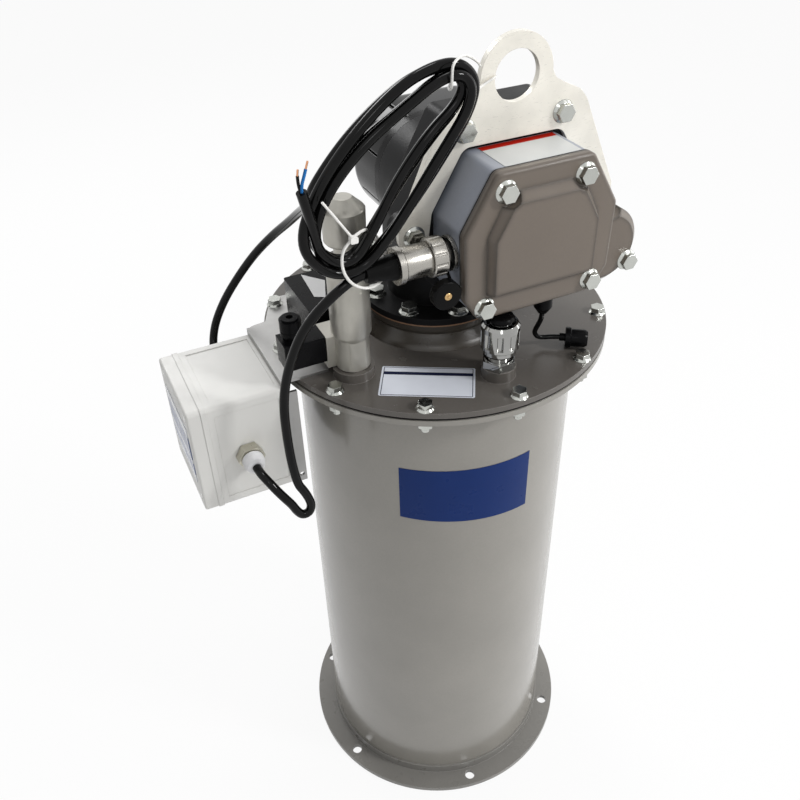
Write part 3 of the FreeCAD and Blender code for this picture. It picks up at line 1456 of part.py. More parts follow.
def sensor_route():
    """The sensor lead's points; its lower ones follow the plug on the lid."""
    points = route(SENSOR_LEAD)
    drop = points[0].z - points[-1].z
    moved = FreeCAD.Vector(number("sensor_x"), number("sensor_y"), 0) - SENSOR_IN_ROUTE
    return [point + moved * ((points[0].z - point.z) / drop) for point in points]


def make_cord(label, points, dia, closed=False):
    wire = cord_wire(label, points, closed)
    solid = tube_on(wire, number(dia) / 2)
    expected = math.pi * (number(dia) / 2) ** 2 * wire.Length
    print(label, "length", round(wire.Length), "volume ratio", round(solid.Volume / expected, 4))
    cord = doc.addObject("Part::Feature", label)
    cord.Shape = solid
    keep(cord, label)


def make_cords():
    make_cord("pump_lead", route(PUMP_LEAD), "lead_dia")
    make_cord("power_lead", route(POWER_LEAD), "lead_dia")
    make_cord("power_tail", route(POWER_TAIL), "lead_dia")
    make_cord("power_coil", route(POWER_HANK), "hank_dia", True)
    make_cord("sensor_lead", sensor_route(), "sensor_lead_dia")


def make_ties():
    """Two equal plastic ties: one holds the hank to the lifting eye, one binds its foot."""
    loop = Part.makeTorus(number("hank_dia") / 2 + TIE_RADIUS + 0.5, TIE_RADIUS,
                          route([UPPER_TIE])[0], FreeCAD.Vector(1, 0, 0))
    strap = tube_on(cord_wire("tie_strap", route(TIE_STRAP)), TIE_RADIUS)
    upper = loop.fuse(strap)
    lower = tube_on(cord_wire("lower_tie", route(LOWER_TIE), True), TIE_RADIUS)
    tail = tube_on(cord_wire("tie_tail", route(TIE_TAIL)), TIE_RADIUS)
    head_at = route(TIE_TAIL)[0] - FreeCAD.Vector(3, 3, 3)
    head = Part.makeBox(6, 6, 6, head_at)
    group = doc.addObject("Part::Feature", "zip_ties")
    group.Shape = Part.Compound([upper, lower.fuse(tail).fuse(head)])
    keep(group, "zip_ties")


def build():
    fill_sheets()
    make_tank_shell()
    make_foot()
    make_reservoir_rings()
    make_lid()
    make_lid_fasteners()
    make_pedestal()
    make_pump()
    make_pump_rod()
    make_follower()
    make_gear_case()
    make_gear_plate()
    make_gears()
    make_motor()
    make_motor_cover()
    make_lifting_plate()
    make_side_casing()
    make_base_bolts()
    make_control_housing()
    make_cover_seal()
    make_front_cover()
    make_drive_bolts()
    make_connector()
    make_dust_cap()
    make_coupler()
    make_valve()
    make_din_plug()
    make_coil_block()
    make_bracket()
    make_box()
    make_box_screws()
    make_gland("front_gland", "front_gland_x", "box_front", "lid_top + front_gland_height",
               TO_FRONT)
    make_gland("rear_gland", "rear_gland_x", "box_back", "lid_top + rear_gland_height", TO_BACK)
    make_sensor()
    make_cords()
    make_ties()
    doc.recompute()


def check():
    for item in doc.Objects:
        if "Invalid" in item.State or "Error" in item.State:
            raise RuntimeError("failed: " + item.Name)
    for item in parts:
        if item.Shape.isNull() or not item.Shape.isValid() or not item.Shape.Solids:
            raise RuntimeError("bad shape: " + item.Label)


def write():
    os.makedirs("parts", exist_ok=True)
    for item in parts:
        item.Shape.exportStep(os.path.join("parts", item.Label + ".step"))


build()
check()
write()
print(len(parts), "sub-parts")
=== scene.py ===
import math

import bmesh
import bpy
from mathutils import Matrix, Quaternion, Vector


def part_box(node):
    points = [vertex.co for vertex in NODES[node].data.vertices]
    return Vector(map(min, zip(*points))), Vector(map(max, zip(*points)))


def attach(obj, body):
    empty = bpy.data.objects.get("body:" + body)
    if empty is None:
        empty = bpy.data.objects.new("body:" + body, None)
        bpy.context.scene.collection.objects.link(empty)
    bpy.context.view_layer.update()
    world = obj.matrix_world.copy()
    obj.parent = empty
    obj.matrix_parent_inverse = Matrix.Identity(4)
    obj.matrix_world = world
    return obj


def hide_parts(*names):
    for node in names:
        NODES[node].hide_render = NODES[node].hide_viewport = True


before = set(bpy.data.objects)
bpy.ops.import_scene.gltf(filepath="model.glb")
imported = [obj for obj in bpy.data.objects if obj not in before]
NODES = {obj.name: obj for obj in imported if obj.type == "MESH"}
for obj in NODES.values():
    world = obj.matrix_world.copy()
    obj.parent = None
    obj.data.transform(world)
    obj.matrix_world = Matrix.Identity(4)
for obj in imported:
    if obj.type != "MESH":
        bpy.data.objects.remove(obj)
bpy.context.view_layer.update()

LID = 0.677            # height of the lid's top face
TANK_RADIUS = 0.1531   # just outside the reservoir's wall
LABEL_GAP = 0.00005    # between a label and the face that it lies on
LABEL_THICK = 0.0003
PRINT_RISE = 0.00025   # from a label's foot to the print on it
PRINT_THICK = 0.00015
POWER_DIA = 9
SENSOR_DIA = 5
CORE_DIA = 2.6
COPPER_DIA = 1.7
TIE_DIA = 2.2
TIE_LOOP_DIA = 2.6


def mm(x, y, h):
    """A point in millimetres, with its height over the lid, as metres in the row frame."""
    return Vector((x / 1000, y / 1000, LID + h / 1000))


# Camera


CAMERA_AT = (-0.3708, -0.7174, 1.1727)
CAMERA_LOOKS = (0.32886, 0.72189, -0.60888)
CAMERA_ROLL = -1.85


def make_camera():
    """The camera at the photograph's viewing angle."""
    camera = bpy.data.objects.new("camera", bpy.data.cameras.new("camera"))
    bpy.context.scene.collection.objects.link(camera)
    camera.data.sensor_width = 36
    camera.data.lens = 38.9
    camera.data.clip_start = 0.01
    camera.location = CAMERA_AT
    forward = Vector(CAMERA_LOOKS)
    roll = Quaternion((0, 0, 1), math.radians(CAMERA_ROLL))
    camera.rotation_mode = "QUATERNION"
    camera.rotation_quaternion = forward.to_track_quat("-Z", "Y") @ roll
    bpy.context.scene.camera = camera


make_camera()

# Cords


PUMP_LEAD = [
    (-237, -80, -70), (-236.5, -90, -70), (-233, -99, -73.5), (-227.5, -106, -82.5),
    (-221, -110.5, -93), (-215.5, -112.3, -102), (-212, -113.4, -111), (-207, -114, -118.5),
    (-199.5, -114, -118), (-196.3, -113.7, -110), (-198, -113, -100), (-202, -112, -89),
    (-206.5, -110.5, -80), (-208.5, -108, -60), (-209, -105, -40),
    (-208.7, -102.5, -20), (-207.8, -100, 1), (-204.9, -98.5, 22), (-199, -98.5, 45),
    (-187.5, -103.5, 78), (-175, -109, 99.5), (-159.4, -113.4, 116.3), (-145.4, -114, 125.8),
    (-134.3, -113.4, 130.8), (-125, -113, 132),
]
POWER_LEAD = [
    (-226, 81, -40), (-226, 93, -39), (-223, 102, -29), (-216, 105, -10), (-202, 103, 16),
    (-184, 97, 43), (-166, 86, 70), (-150, 66, 96), (-142, 38, 119), (-140, 8, 141),
    (-143, -24, 161), (-149, -54, 178), (-155, -78, 190), (-160, -98, 199),
]
POWER_TAIL = [
    (-142, -107, 136), (-154, -107.5, 140), (-161, -110, 152), (-165, -114.5, 168),
    (-169.5, -119, 189.3), (-174.2, -123, 208.2), (-177.8, -125, 222.4),
]
POWER_HANK = [
    (-177, -110, 172), (-161, -110, 211), (-126, -110, 248), (-85, -110, 275),
    (-56, -110, 287), (-36, -110, 288), (-24.5, -110, 276), (-31, -110, 257),
    (-52, -110, 234), (-81, -110, 199), (-106, -110, 166), (-130, -110, 141),
    (-156, -110, 144.5),
]
# Half the width over which the turns lie side by side there, outwards and inwards
HANK_HALF = [
    (6, 9), (4.5, 6), (6, 7), (10, 11), (8, 5), (6.5, 2), (6.5, 4), (8, 7), (12, 13),
    (14, 14.5), (10.5, 10.5), (6.5, 6), (7, 7),
]
SENSOR_LEAD = [
    (58, -119, 44.5), (58, -119, 37), (55, -116.5, 27), (54.5, -113, 18.5), (59, -112.5, 11.5),
    (66, -114, 9.5), (73.2, -117.4, 10.2), (79.5, -121.8, 10.5),
]
HANK_TURNS = 4
HANK_DEPTH = 6.7       # half the hank's depth
HANK_START = 45        # degrees round the hank's section at its first point
HANK_TWIST = 90        # degrees that each turn lies round from the last
HANK_FLATNESS = 0.65   # under 1 lays the turns nearer to the hank's sides


def hank_points():
    """The cord's points through the hank, each turn a quarter turn round from the last."""
    points = []
    count = len(POWER_HANK)
    for step in range(1, HANK_TURNS * count - 1):
        before = Vector(POWER_HANK[(step - 1) % count])
        here = Vector(POWER_HANK[step % count])
        after = Vector(POWER_HANK[(step + 1) % count])
        heading = (after - before).normalized()
        outward = heading.cross(Vector((0, 1, 0)))
        angle = math.radians(HANK_START + HANK_TWIST * step / count)
        outer, inner = HANK_HALF[step % count]
        across = abs(math.cos(angle)) ** HANK_FLATNESS
        across *= outer if math.cos(angle) > 0 else -inner
        points.append(here + outward * across + Vector((0, HANK_DEPTH * math.sin(angle), 0)))
    return points


def cord_curve(name, points, dia):
    """A smooth cord whose control points are the route's points. The points carry its radius."""
    data = bpy.data.curves.new(name, "CURVE")
    data.dimensions = "3D"
    spline = data.splines.new("NURBS")
    spline.points.add(len(points) - 1)
    for slot, point in zip(spline.points, points):
        slot.co = (*mm(*point), 1)
        slot.radius = dia / 2000
    spline.order_u = 3
    spline.use_endpoint_u = True
    spline.resolution_u = 10
    data.bevel_depth = 1.0
    data.bevel_resolution = 6
    data.use_fill_caps = True
    curve = bpy.data.objects.new(name, data)
    bpy.context.scene.collection.objects.link(curve)
    return curve


pump_cord = cord_curve("pump_cord", PUMP_LEAD, POWER_DIA)
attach(pump_cord, "base")
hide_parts("pump_lead")
power_route = POWER_LEAD[:-1] + hank_points() + POWER_TAIL
power_cord = cord_curve("power_cord", power_route, POWER_DIA)
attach(power_cord, "base")
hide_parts("power_lead", "power_coil", "power_tail")
sensor_cord = cord_curve("sensor_cord", SENSOR_LEAD, SENSOR_DIA)
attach(sensor_cord, "base")
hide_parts("sensor_lead")


# Materials


class Look:
    """A procedural material under construction, with short ways to add nodes and links."""

    def __init__(self, name):
        self.material = bpy.data.materials.new(name)
        self.material.use_nodes = True
        self.tree = self.material.node_tree
        self.shader = self.tree.nodes["Principled BSDF"]
        coords = self.add("ShaderNodeTexCoord")
        self.at = coords.outputs["Object"]

    def add(self, kind, **values):
        node = self.tree.nodes.new(kind)
        for name, value in values.items():
            setattr(node, name, value)
        return node

    def link(self, source, target):
        self.tree.links.new(source, target)

    def stretched(self, scale):
        mapping = self.add("ShaderNodeMapping")
        mapping.inputs["Scale"].default_value = scale
        self.link(self.at, mapping.inputs["Vector"])
        return mapping.outputs["Vector"]

    def noise(self, scale, detail=3.0, stretch=None):
        node = self.add("ShaderNodeTexNoise")
        node.inputs["Scale"].default_value = scale
        node.inputs["Detail"].default_value = detail
        self.link(self.stretched(stretch) if stretch else self.at, node.inputs["Vector"])
        return node.outputs["Fac"]

    def ramp(self, value, stops):
        node = self.add("ShaderNodeValToRGB")
        ramp = node.color_ramp
        while len(ramp.elements) < len(stops):
            ramp.elements.new(0.5)
        for element, (at, color) in zip(ramp.elements, stops):
            element.position = at
            element.color = (*color, 1)
        self.link(value, node.inputs["Fac"])
        return node.outputs["Color"]

    def spread(self, value, low, high):
        node = self.add("ShaderNodeMapRange")
        node.inputs["From Min"].default_value = 0.3
        node.inputs["From Max"].default_value = 0.7
        node.inputs["To Min"].default_value = low
        node.inputs["To Max"].default_value = high
        self.link(value, node.inputs["Value"])
        return node.outputs["Result"]

    def mix(self, factor, first, second):
        node = self.add("ShaderNodeMix", data_type="RGBA")
        for socket, value in ((node.inputs[0], factor), (node.inputs[6], first),
                              (node.inputs[7], second)):
            if isinstance(value, bpy.types.NodeSocket):
                self.link(value, socket)
            elif socket is node.inputs[0]:
                socket.default_value = value
            else:
                socket.default_value = (*value, 1)
        return node.outputs[2]

    def between(self, axis, low, high):
        """1 where the point's own coordinate (0 X, 1 Y, 2 Z) lies between two values, else 0."""
        split = self.add("ShaderNodeSeparateXYZ")
        self.link(self.at, split.inputs[0])
        over = self.add("ShaderNodeMath", operation="GREATER_THAN")
        over.inputs[1].default_value = low
        self.link(split.outputs[axis], over.inputs[0])
        under = self.add("ShaderNodeMath", operation="LESS_THAN")
        under.inputs[1].default_value = high
        self.link(split.outputs[axis], under.inputs[0])
        both = self.add("ShaderNodeMath", operation="MULTIPLY")
        self.link(over.outputs[0], both.inputs[0])
        self.link(under.outputs[0], both.inputs[1])
        return both.outputs[0]

    def bump(self, height, strength, distance=0.0002, round_edges=0.0):
        node = self.add("ShaderNodeBump")
        node.inputs["Strength"].default_value = strength
        node.inputs["Distance"].default_value = distance
        self.link(height, node.inputs["Height"])
        if round_edges:
            bevel = self.add("ShaderNodeBevel", samples=4)
            bevel.inputs["Radius"].default_value = round_edges
            self.link(bevel.outputs[0], node.inputs["Normal"])
        self.link(node.outputs[0], self.shader.inputs["Normal"])

    def edge_wear_and_shade(self, color, edge_wear_and_shade_color, amount, radius=0.0012):
        """Blend to another colour where rounded edges and creases turn away from the flat normal:
        edge wear where that colour is lighter, painted shade where it is darker.
        """
        bevel = self.add("ShaderNodeBevel", samples=4)
        bevel.inputs["Radius"].default_value = radius
        flat = self.add("ShaderNodeNewGeometry")
        dot = self.add("ShaderNodeVectorMath", operation="DOT_PRODUCT")
        self.link(bevel.outputs[0], dot.inputs[0])
        self.link(flat.outputs["Normal"], dot.inputs[1])
        edge = self.add("ShaderNodeMapRange")
        edge.inputs["From Min"].default_value = 0.995
        edge.inputs["From Max"].default_value = 0.86
        edge.inputs["To Max"].default_value = amount
        self.link(dot.outputs["Value"], edge.inputs["Value"])
        return self.mix(edge.outputs["Result"], color, edge_wear_and_shade_color)


def shade(color, factor):
    return tuple(min(1.0, part * factor) for part in color)


def painted(name, color, rough=0.35, grain=0.25, edge_wear_and_shade_color=None, rounding=0.0008, coat=0.0,
            orange_peel=900.0, reach=0.0012, share=0.55, specular=0.5):
    """Sprayed paint: slow colour drift, fine orange peel, and edges of another tone, which is edge
    wear where lighter and painted shade where darker.
    """
    look = Look(name)
    drift = look.ramp(look.noise(9, 4), [(0.3, shade(color, 0.93)), (0.7, shade(color, 1.06))])
    specks = look.noise(420, 2)
    tone = look.mix(look.spread(specks, 0.0, 0.18), drift, shade(color, 0.8))
    # edges and creases of another tone: lighter ones are edge wear, darker ones are painted shade
    if edge_wear_and_shade_color:
        tone = look.edge_wear_and_shade(tone, edge_wear_and_shade_color, share, reach)
    look.link(tone, look.shader.inputs["Base Color"])
    look.link(look.spread(look.noise(60, 4), rough * 0.85, rough * 1.15),
              look.shader.inputs["Roughness"])
    look.shader.inputs["Specular IOR Level"].default_value = specular
    look.shader.inputs["Coat Weight"].default_value = coat
    look.shader.inputs["Coat Roughness"].default_value = 0.12
    look.bump(look.noise(orange_peel, 2), grain, 0.00012, rounding)
    return look.material


def metal(name, color, rough=0.3, stretch=None, scale=500.0, grain=0.2, rounding=0.0006,
          metallic=1.0):
    """Bare or plated metal with a machined or brushed grain and slight staining."""
    look = Look(name)
    stain = look.ramp(look.noise(30, 5), [(0.3, shade(color, 0.86)), (0.7, shade(color, 1.05))])
    look.link(stain, look.shader.inputs["Base Color"])
    look.shader.inputs["Metallic"].default_value = metallic
    brushed = look.noise(scale, 3, stretch)
    look.link(look.spread(brushed, rough * 0.7, rough * 1.3), look.shader.inputs["Roughness"])
    look.bump(brushed, grain, 0.00005, rounding)
    return look.material


def plastic(name, color, rough=0.35, grain=0.3, scale=1400.0, rounding=0.0006, specular=0.5):
    """Moulded plastic with a fine eroded texture and faint flow marks."""
    look = Look(name)
    flow = look.ramp(look.noise(14, 3, (1, 1, 0.3)),
                     [(0.3, shade(color, 0.95)), (0.7, shade(color, 1.04))])
    look.link(flow, look.shader.inputs["Base Color"])
    look.link(look.spread(look.noise(80, 3), rough * 0.85, rough * 1.15),
              look.shader.inputs["Roughness"])
    look.shader.inputs["Specular IOR Level"].default_value = specular
    look.bump(look.noise(scale, 2), grain, 0.00006, rounding)
    return look.material


def cable(name):
    """Glossy black cable sheath with a soft lengthways unevenness and a few scuffs."""
    look = Look(name)
    tone = look.ramp(look.noise(60, 4), [(0.35, (0.002, 0.002, 0.002)),
                                         (0.75, (0.005, 0.005, 0.005))])
    look.link(tone, look.shader.inputs["Base Color"])
    look.shader.inputs["Specular IOR Level"].default_value = 0.16
    look.link(look.spread(look.noise(220, 4), 0.05, 0.09), look.shader.inputs["Roughness"])
    look.bump(look.noise(300, 3), 0.12, 0.00006)
    return look.material


TANK = (0.275, 0.262, 0.235)
TAUPE = (0.155, 0.128, 0.104)
looks = {
    "tank": painted("tank_paint", TANK, 0.22, 0.06, coat=0.25),
    "foot": painted("foot_paint", (0.225, 0.217, 0.202), 0.30, 0.15, (0.48, 0.47, 0.45)),
    "lid": painted("lid_paint", (0.115, 0.105, 0.095), 0.24, 0.2, (0.28, 0.26, 0.24),
                   specular=0.4),
    # the pedestal's dark base colour is painted shade, for the shadow under the drive
    "pedestal": painted("pedestal_paint_darkened_as_shade", (0.060, 0.052, 0.042), 0.30, 0.2, (0.2, 0.18, 0.15)),
    # near-black along the cover's rounded rims and in the creases round its raised panel: painted
    # shade
    "cover": painted("cover_paint", TAUPE, 0.36, 0.45, (0.020, 0.016, 0.012), 0.0022,
                     orange_peel=600, reach=0.007, share=0.92),
    # near-black along the housing's rounded edges and in its creases: painted shade
    "housing": painted("housing_paint", (0.295, 0.318, 0.375), 0.36, 0.6, (0.006, 0.006, 0.007),
                       0.0018, orange_peel=500, reach=0.0055, share=0.97),
    "case": painted("case_paint", (0.012, 0.012, 0.0125), 0.34, 0.4, (0.05, 0.05, 0.05),
                    specular=0.08),
    "black_case": painted("black_enamel", (0.003, 0.003, 0.003), 0.2, 0.3, (0.02, 0.02, 0.02),
                          specular=0.08),
    "plate": metal("plate_zinc", (0.88, 0.85, 0.77), 0.38, (1, 1, 14), 160, 0.1,
                   metallic=0.3),
    "zinc": metal("bolt_zinc", (0.52, 0.53, 0.50), 0.20, None, 260, 0.2, 0.0007),
    "steel": metal("turned_steel", (0.56, 0.55, 0.53), 0.3, (1, 1, 30), 120),
    "bronze": metal("bronze", (0.62, 0.42, 0.2), 0.32, (1, 1, 20), 120),
    "chrome": metal("chrome", (0.34, 0.34, 0.33), 0.08, None, 300, 0.08, 0.0005),
    "nickel": metal("satin_nickel", (0.41, 0.395, 0.365), 0.28, (6, 1, 1), 500, 0.05, 0.0005),
    "valve": metal("valve_silver", (0.46, 0.445, 0.40), 0.40, (1, 1, 0.4), 260, 0.06, 0.0008,
                   metallic=0.6),
    "box": plastic("box_moulding", (0.68, 0.675, 0.65), 0.42, 0.3),
    "black": plastic("black_moulding", (0.003, 0.003, 0.0035), 0.28, 0.4, specular=0.07),
    "glossy": plastic("black_gloss", (0.002, 0.002, 0.0025), 0.12, 0.1, 500, 0.001, 0.16),
    "rubber": plastic("black_rubber", (0.003, 0.003, 0.003), 0.3, 0.4, 800, specular=0.09),
    "tie": plastic("tie_nylon", (0.82, 0.81, 0.78), 0.3, 0.1),
    "seal": painted("seal_sheet", (0.30, 0.17, 0.10), 0.5, 0.3, rounding=0.0),
    "dark_seal": plastic("dark_seal", (0.006, 0.005, 0.005), 0.55, 0.4, 500, specular=0.2),
    "motor": painted("motor_paint", (0.005, 0.0053, 0.0063), 0.28, 0.3, specular=0.08),
    "cable": cable("cable_sheath"),
}

NODE_LOOKS = {
    "tank": ["tank_shell", "tank_floor", "top_flange"],
    "foot": ["foot_flange"],
    "lid": ["lid_plate"],
    "pedestal": ["pedestal"],
    "cover": ["front_cover", "side_casing"],
    "housing": ["control_housing"],
    "case": ["gear_case"],
    "black_case": ["gear_plate"],
    "plate": ["lifting_plate"],
    "zinc": ["lid_bolts", "lid_nuts", "base_bolts", "drive_bolts", "box_screws"],
    "steel": ["pump_tube", "foot_valve", "pump_rod", "yoke", "follower_plate", "crank_gear",
              "motor_shaft"],
    "bronze": ["priming_piston", "rod_bush", "crank_bush"],
    "chrome": ["coupler_body", "coupler_sleeve"],
    "nickel": ["connector_receptacle", "coupling_ring", "connector_shell"],
    "valve": ["valve_body", "valve_stem", "valve_cap"],
    "box": ["box_base", "box_cover"],
    "black": ["din_plug", "sensor_gland", "sensor_plug", "coil_block", "coupler_plug"],
    "glossy": ["motor_cover"],
    "rubber": ["connector_boot", "dust_cap", "follower_wiper"],
    "tie": ["zip_ties"],
    "seal": ["pedestal_seal"],
    "dark_seal": ["lid_seal", "cover_seal"],
    "motor": ["motor_body"],
}


def bracket_look():
    """Dull zinc plate on bent sheet."""
    look = Look("bracket_zinc")
    tone = look.ramp(look.noise(25, 4), [(0.3, (0.31, 0.307, 0.30)), (0.7, (0.37, 0.366, 0.36))])
    look.link(tone, look.shader.inputs["Base Color"])
    look.shader.inputs["Metallic"].default_value = 0.85
    look.link(look.spread(look.noise(200, 3), 0.34, 0.48), look.shader.inputs["Roughness"])
    look.bump(look.noise(400, 3), 0.15, 0.00005, 0.0006)
    return look.material


def gland_look():
    """Nickel hexagon at the wall and a white nylon nut round the cord, at both glands."""
    look = Look("gland")
    front_nut = look.between(1, -0.20, -0.0667)
    rear_nut = look.between(1, 0.0677, 0.20)
    white = look.add("ShaderNodeMath", operation="MAXIMUM")
    look.link(front_nut, white.inputs[0])
    look.link(rear_nut, white.inputs[1])
    stain = look.ramp(look.noise(120, 3), [(0.3, (0.50, 0.48, 0.40)), (0.7, (0.62, 0.60, 0.52))])
    look.link(look.mix(white.outputs[0], stain, (0.74, 0.74, 0.75)),
              look.shader.inputs["Base Color"])
    bare = look.add("ShaderNodeMath", operation="SUBTRACT")
    bare.inputs[0].default_value = 1.0
    look.link(white.outputs[0], bare.inputs[1])
    look.link(bare.outputs[0], look.shader.inputs["Metallic"])
    look.link(look.spread(look.noise(150, 3), 0.26, 0.36), look.shader.inputs["Roughness"])
    look.bump(look.noise(500, 2), 0.15, 0.00005, 0.0006)
    return look.material


def panel_look():
    """Printed film on the box's cover: white with plain blue bands."""
    look = Look("panel_film")
    white, blue, pale = (0.66, 0.68, 0.71), (0.045, 0.085, 0.22), (0.16, 0.20, 0.34)
    upper = look.between(2, 0.608, 0.636)
    middle = look.between(2, 0.588, 0.603)
    tone = look.mix(upper, white, blue)
    tone = look.mix(middle, tone, pale)
    look.link(tone, look.shader.inputs["Base Color"])
    look.link(look.spread(look.noise(90, 3), 0.18, 0.3), look.shader.inputs["Roughness"])
    look.bump(look.noise(900, 2), 0.1, 0.00005)
    return look.material


def dress(node_name, material):
    """Give a carried-over node its material in every slot."""
    slots = NODES[node_name].data.materials
    if slots:
        for index in range(len(slots)):
            slots[index] = material
    else:
        slots.append(material)


for look_name, names in NODE_LOOKS.items():
    for node_name in names:
        dress(node_name, looks[look_name])
dress("box_bracket", bracket_look())
dress("front_gland", gland_look())
dress("rear_gland", gland_look())
dress("display_panel", panel_look())
for curve in (pump_cord, power_cord, sensor_cord):
    curve.data.materials.append(looks["cable"])


# Smooth shading for the carried-over nodes, with sharp edges kept


SHARP_ANGLE = 28       # degrees between faces from which an edge stays sharp
WELD = 0.000002


def shading_group():
    """Weld the mesh and smooth it wherever its faces meet at a small angle."""
    group = bpy.data.node_groups.new("smooth_by_angle", "GeometryNodeTree")
    group.interface.new_socket("Geometry", in_out="INPUT", socket_type="NodeSocketGeometry")
    group.interface.new_socket("Geometry", in_out="OUTPUT", socket_type="NodeSocketGeometry")
    add = group.nodes.new
    source, target = add("NodeGroupInput"), add("NodeGroupOutput")
    weld = add("GeometryNodeMergeByDistance")
    weld.inputs["Distance"].default_value = WELD
    faces = add("GeometryNodeSetShadeSmooth")
    angle = add("GeometryNodeInputMeshEdgeAngle")
    sharp = add("FunctionNodeCompare")
    sharp.operation = "GREATER_THAN"
    sharp.inputs[1].default_value = math.radians(SHARP_ANGLE)
    edges = add("GeometryNodeSetShadeSmooth")
    edges.domain = "EDGE"
    edges.inputs["Shade Smooth"].default_value = False
    link = group.links.new
    link(source.outputs[0], weld.inputs["Geometry"])
    link(weld.outputs["Geometry"], faces.inputs["Geometry"])
    link(faces.outputs["Geometry"], edges.inputs["Geometry"])
    link(angle.outputs["Unsigned Angle"], sharp.inputs[0])
    link(sharp.outputs[0], edges.inputs["Selection"])
    link(edges.outputs["Geometry"], target.inputs[0])
    return group


smooth = shading_group()
for item in NODES.values():
    item.modifiers.new("smooth", "NODES").node_group = smooth


# Labels and small details


def new_piece(name, mesh, material):
    """A piece of the scene's own, which rides on the fixed body."""
    piece = bpy.data.objects.new(name, mesh)
    bpy.context.scene.collection.objects.link(piece)
    mesh.materials.append(material)
    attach(piece, "base")
    return piece


def sheet_mesh(name, across, along, at):
    """A sheet whose points come from at(u, v), with u and v from 0 to 1."""
    bm = bmesh.new()
    rows = []
    for i in range(across + 1):
        rows.append([bm.verts.new(at(i / across, j / along)) for j in range(along + 1)])
    for i in range(across):
        for j in range(along):
            bm.faces.new((rows[i][j], rows[i + 1][j], rows[i + 1][j + 1], rows[i][j + 1]))
    bm.normal_update()
    mesh = bpy.data.meshes.new(name)
    bm.to_mesh(mesh)
    bm.free()
    return mesh


def solid_sheet(piece, thick):
    """Give a sheet its thickness, outwards from the face that it lies on."""
    solid = piece.modifiers.new("thickness", "SOLIDIFY")
    solid.thickness = thick
    solid.offset = 1
    return piece


def film(name, color, rough=0.3):
    """Printed film in one colour with a faint unevenness."""
    look = Look(name)
    tone = look.ramp(look.noise(30, 3), [(0.3, shade(color, 0.96)), (0.7, shade(color, 1.03))])
    look.link(tone, look.shader.inputs["Base Color"])
    look.link(look.spread(look.noise(50, 3), rough * 0.85, rough * 1.2),
              look.shader.inputs["Roughness"])
    look.shader.inputs["Specular IOR Level"].default_value = 0.12
    look.bump(look.noise(300, 3), 0.1, 0.00005)
    return look.material


def tank_label():
    """Bare blue film wrapped on the reservoir, slightly taller at its right end."""
    from_angle, angle_span = -131.1, 54.6
    high_left, high_right = 0.5790, 0.5740
    low_left, low_right = 0.5094, 0.4968

    def at(u, v):
        angle = math.radians(from_angle + angle_span * u)
        high = high_left + (high_right - high_left) * u
        low = low_left + (low_right - low_left) * u
        z = low + (high - low) * v
        return Vector((TANK_RADIUS * math.cos(angle), TANK_RADIUS * math.sin(angle), z))

    mesh = sheet_mesh("tank_label", 40, 4, at)
    blue = film("label_blue", (0.004, 0.025, 0.135))
    solid_sheet(new_piece("tank_label", mesh, blue), LABEL_THICK)


def lid_label_look():
    """White film."""
    look = Look("label_white")
    tone = look.ramp(look.noise(30, 3), [(0.3, (0.68, 0.71, 0.78)), (0.7, (0.74, 0.77, 0.84))])
    look.link(tone, look.shader.inputs["Base Color"])
    look.link(look.spread(look.noise(50, 3), 0.3, 0.45), look.shader.inputs["Roughness"])
    look.bump(look.noise(300, 3), 0.1, 0.00005)
    return look.material


def flat_plate(name, centre, right, up, width, height, material, thick=LABEL_THICK,
               corner=0.0):
    """A thin flat plate with rounded corners, lying on a face."""
    bm = bmesh.new()
    outline = []
    steps = 6 if corner else 0
    for sx, sy, start in ((1, 1, 0), (-1, 1, 90), (-1, -1, 180), (1, -1, 270)):
        for step in range(steps + 1):
            angle = math.radians(start + (90 * step / steps if steps else 45))
            x = sx * (width / 2 - corner) + corner * math.cos(angle)
            y = sy * (height / 2 - corner) + corner * math.sin(angle)
            outline.append(bm.verts.new(centre + right * x + up * y))
    bm.faces.new(outline)
    mesh = bpy.data.meshes.new(name)
    bm.to_mesh(mesh)
    bm.free()
    return solid_sheet(new_piece(name, mesh, material), thick)


def lid_label():
    """White film on the lid with a thin dark frame line, one dark band and no words."""
    angle = math.radians(-120)
    radial = Vector((math.cos(angle), math.sin(angle), 0))
    side = Vector((-radial.y, radial.x, 0))
    centre = radial * 0.134 + Vector((0, 0, LID + LABEL_GAP))
    white = lid_label_look()
    flat_plate("lid_label", centre, side, -radial, 0.092, 0.048, white, corner=0.002)
    dark = film("label_line", (0.012, 0.016, 0.045))
    frame_at = centre + Vector((0, 0, PRINT_RISE))
    flat_plate("lid_label_band", frame_at - radial * 0.0128, side, -radial, 0.087, 0.0048, dark,
               PRINT_THICK)
    line, long, tall = 0.0007, 0.088, 0.0457
    for name, off, size in (("top", Vector((0, 0.0225)), (long, line)),
                            ("foot", Vector((0, -0.0225)), (long, line)),
                            ("left", Vector((-0.0437, 0)), (line, tall)),
                            ("right", Vector((0.0437, 0)), (line, tall))):
        at = frame_at + side * off.x - radial * off.y
        flat_plate("lid_label_" + name, at, side, -radial, *size, dark, PRINT_THICK)


def housing_label():
    """Bare white film on the housing's top with a plain red band along its rear."""
    white = film("housing_film", (0.60, 0.61, 0.60), 0.35)
    red = film("red_band", (0.44, 0.014, 0.006), 0.35)
    top = Vector((0.0395, -0.105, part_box("control_housing")[1][2] + LABEL_GAP))
    right, up = Vector((1, 0, 0)), Vector((0, 1, 0))
    flat_plate("housing_label", top, right, up, 0.077, 0.047, white, corner=0.0015)
    band = top + Vector((0, 0.0192, PRINT_RISE))
    flat_plate("housing_band", band, right, up, 0.077, 0.0078, red, PRINT_THICK)


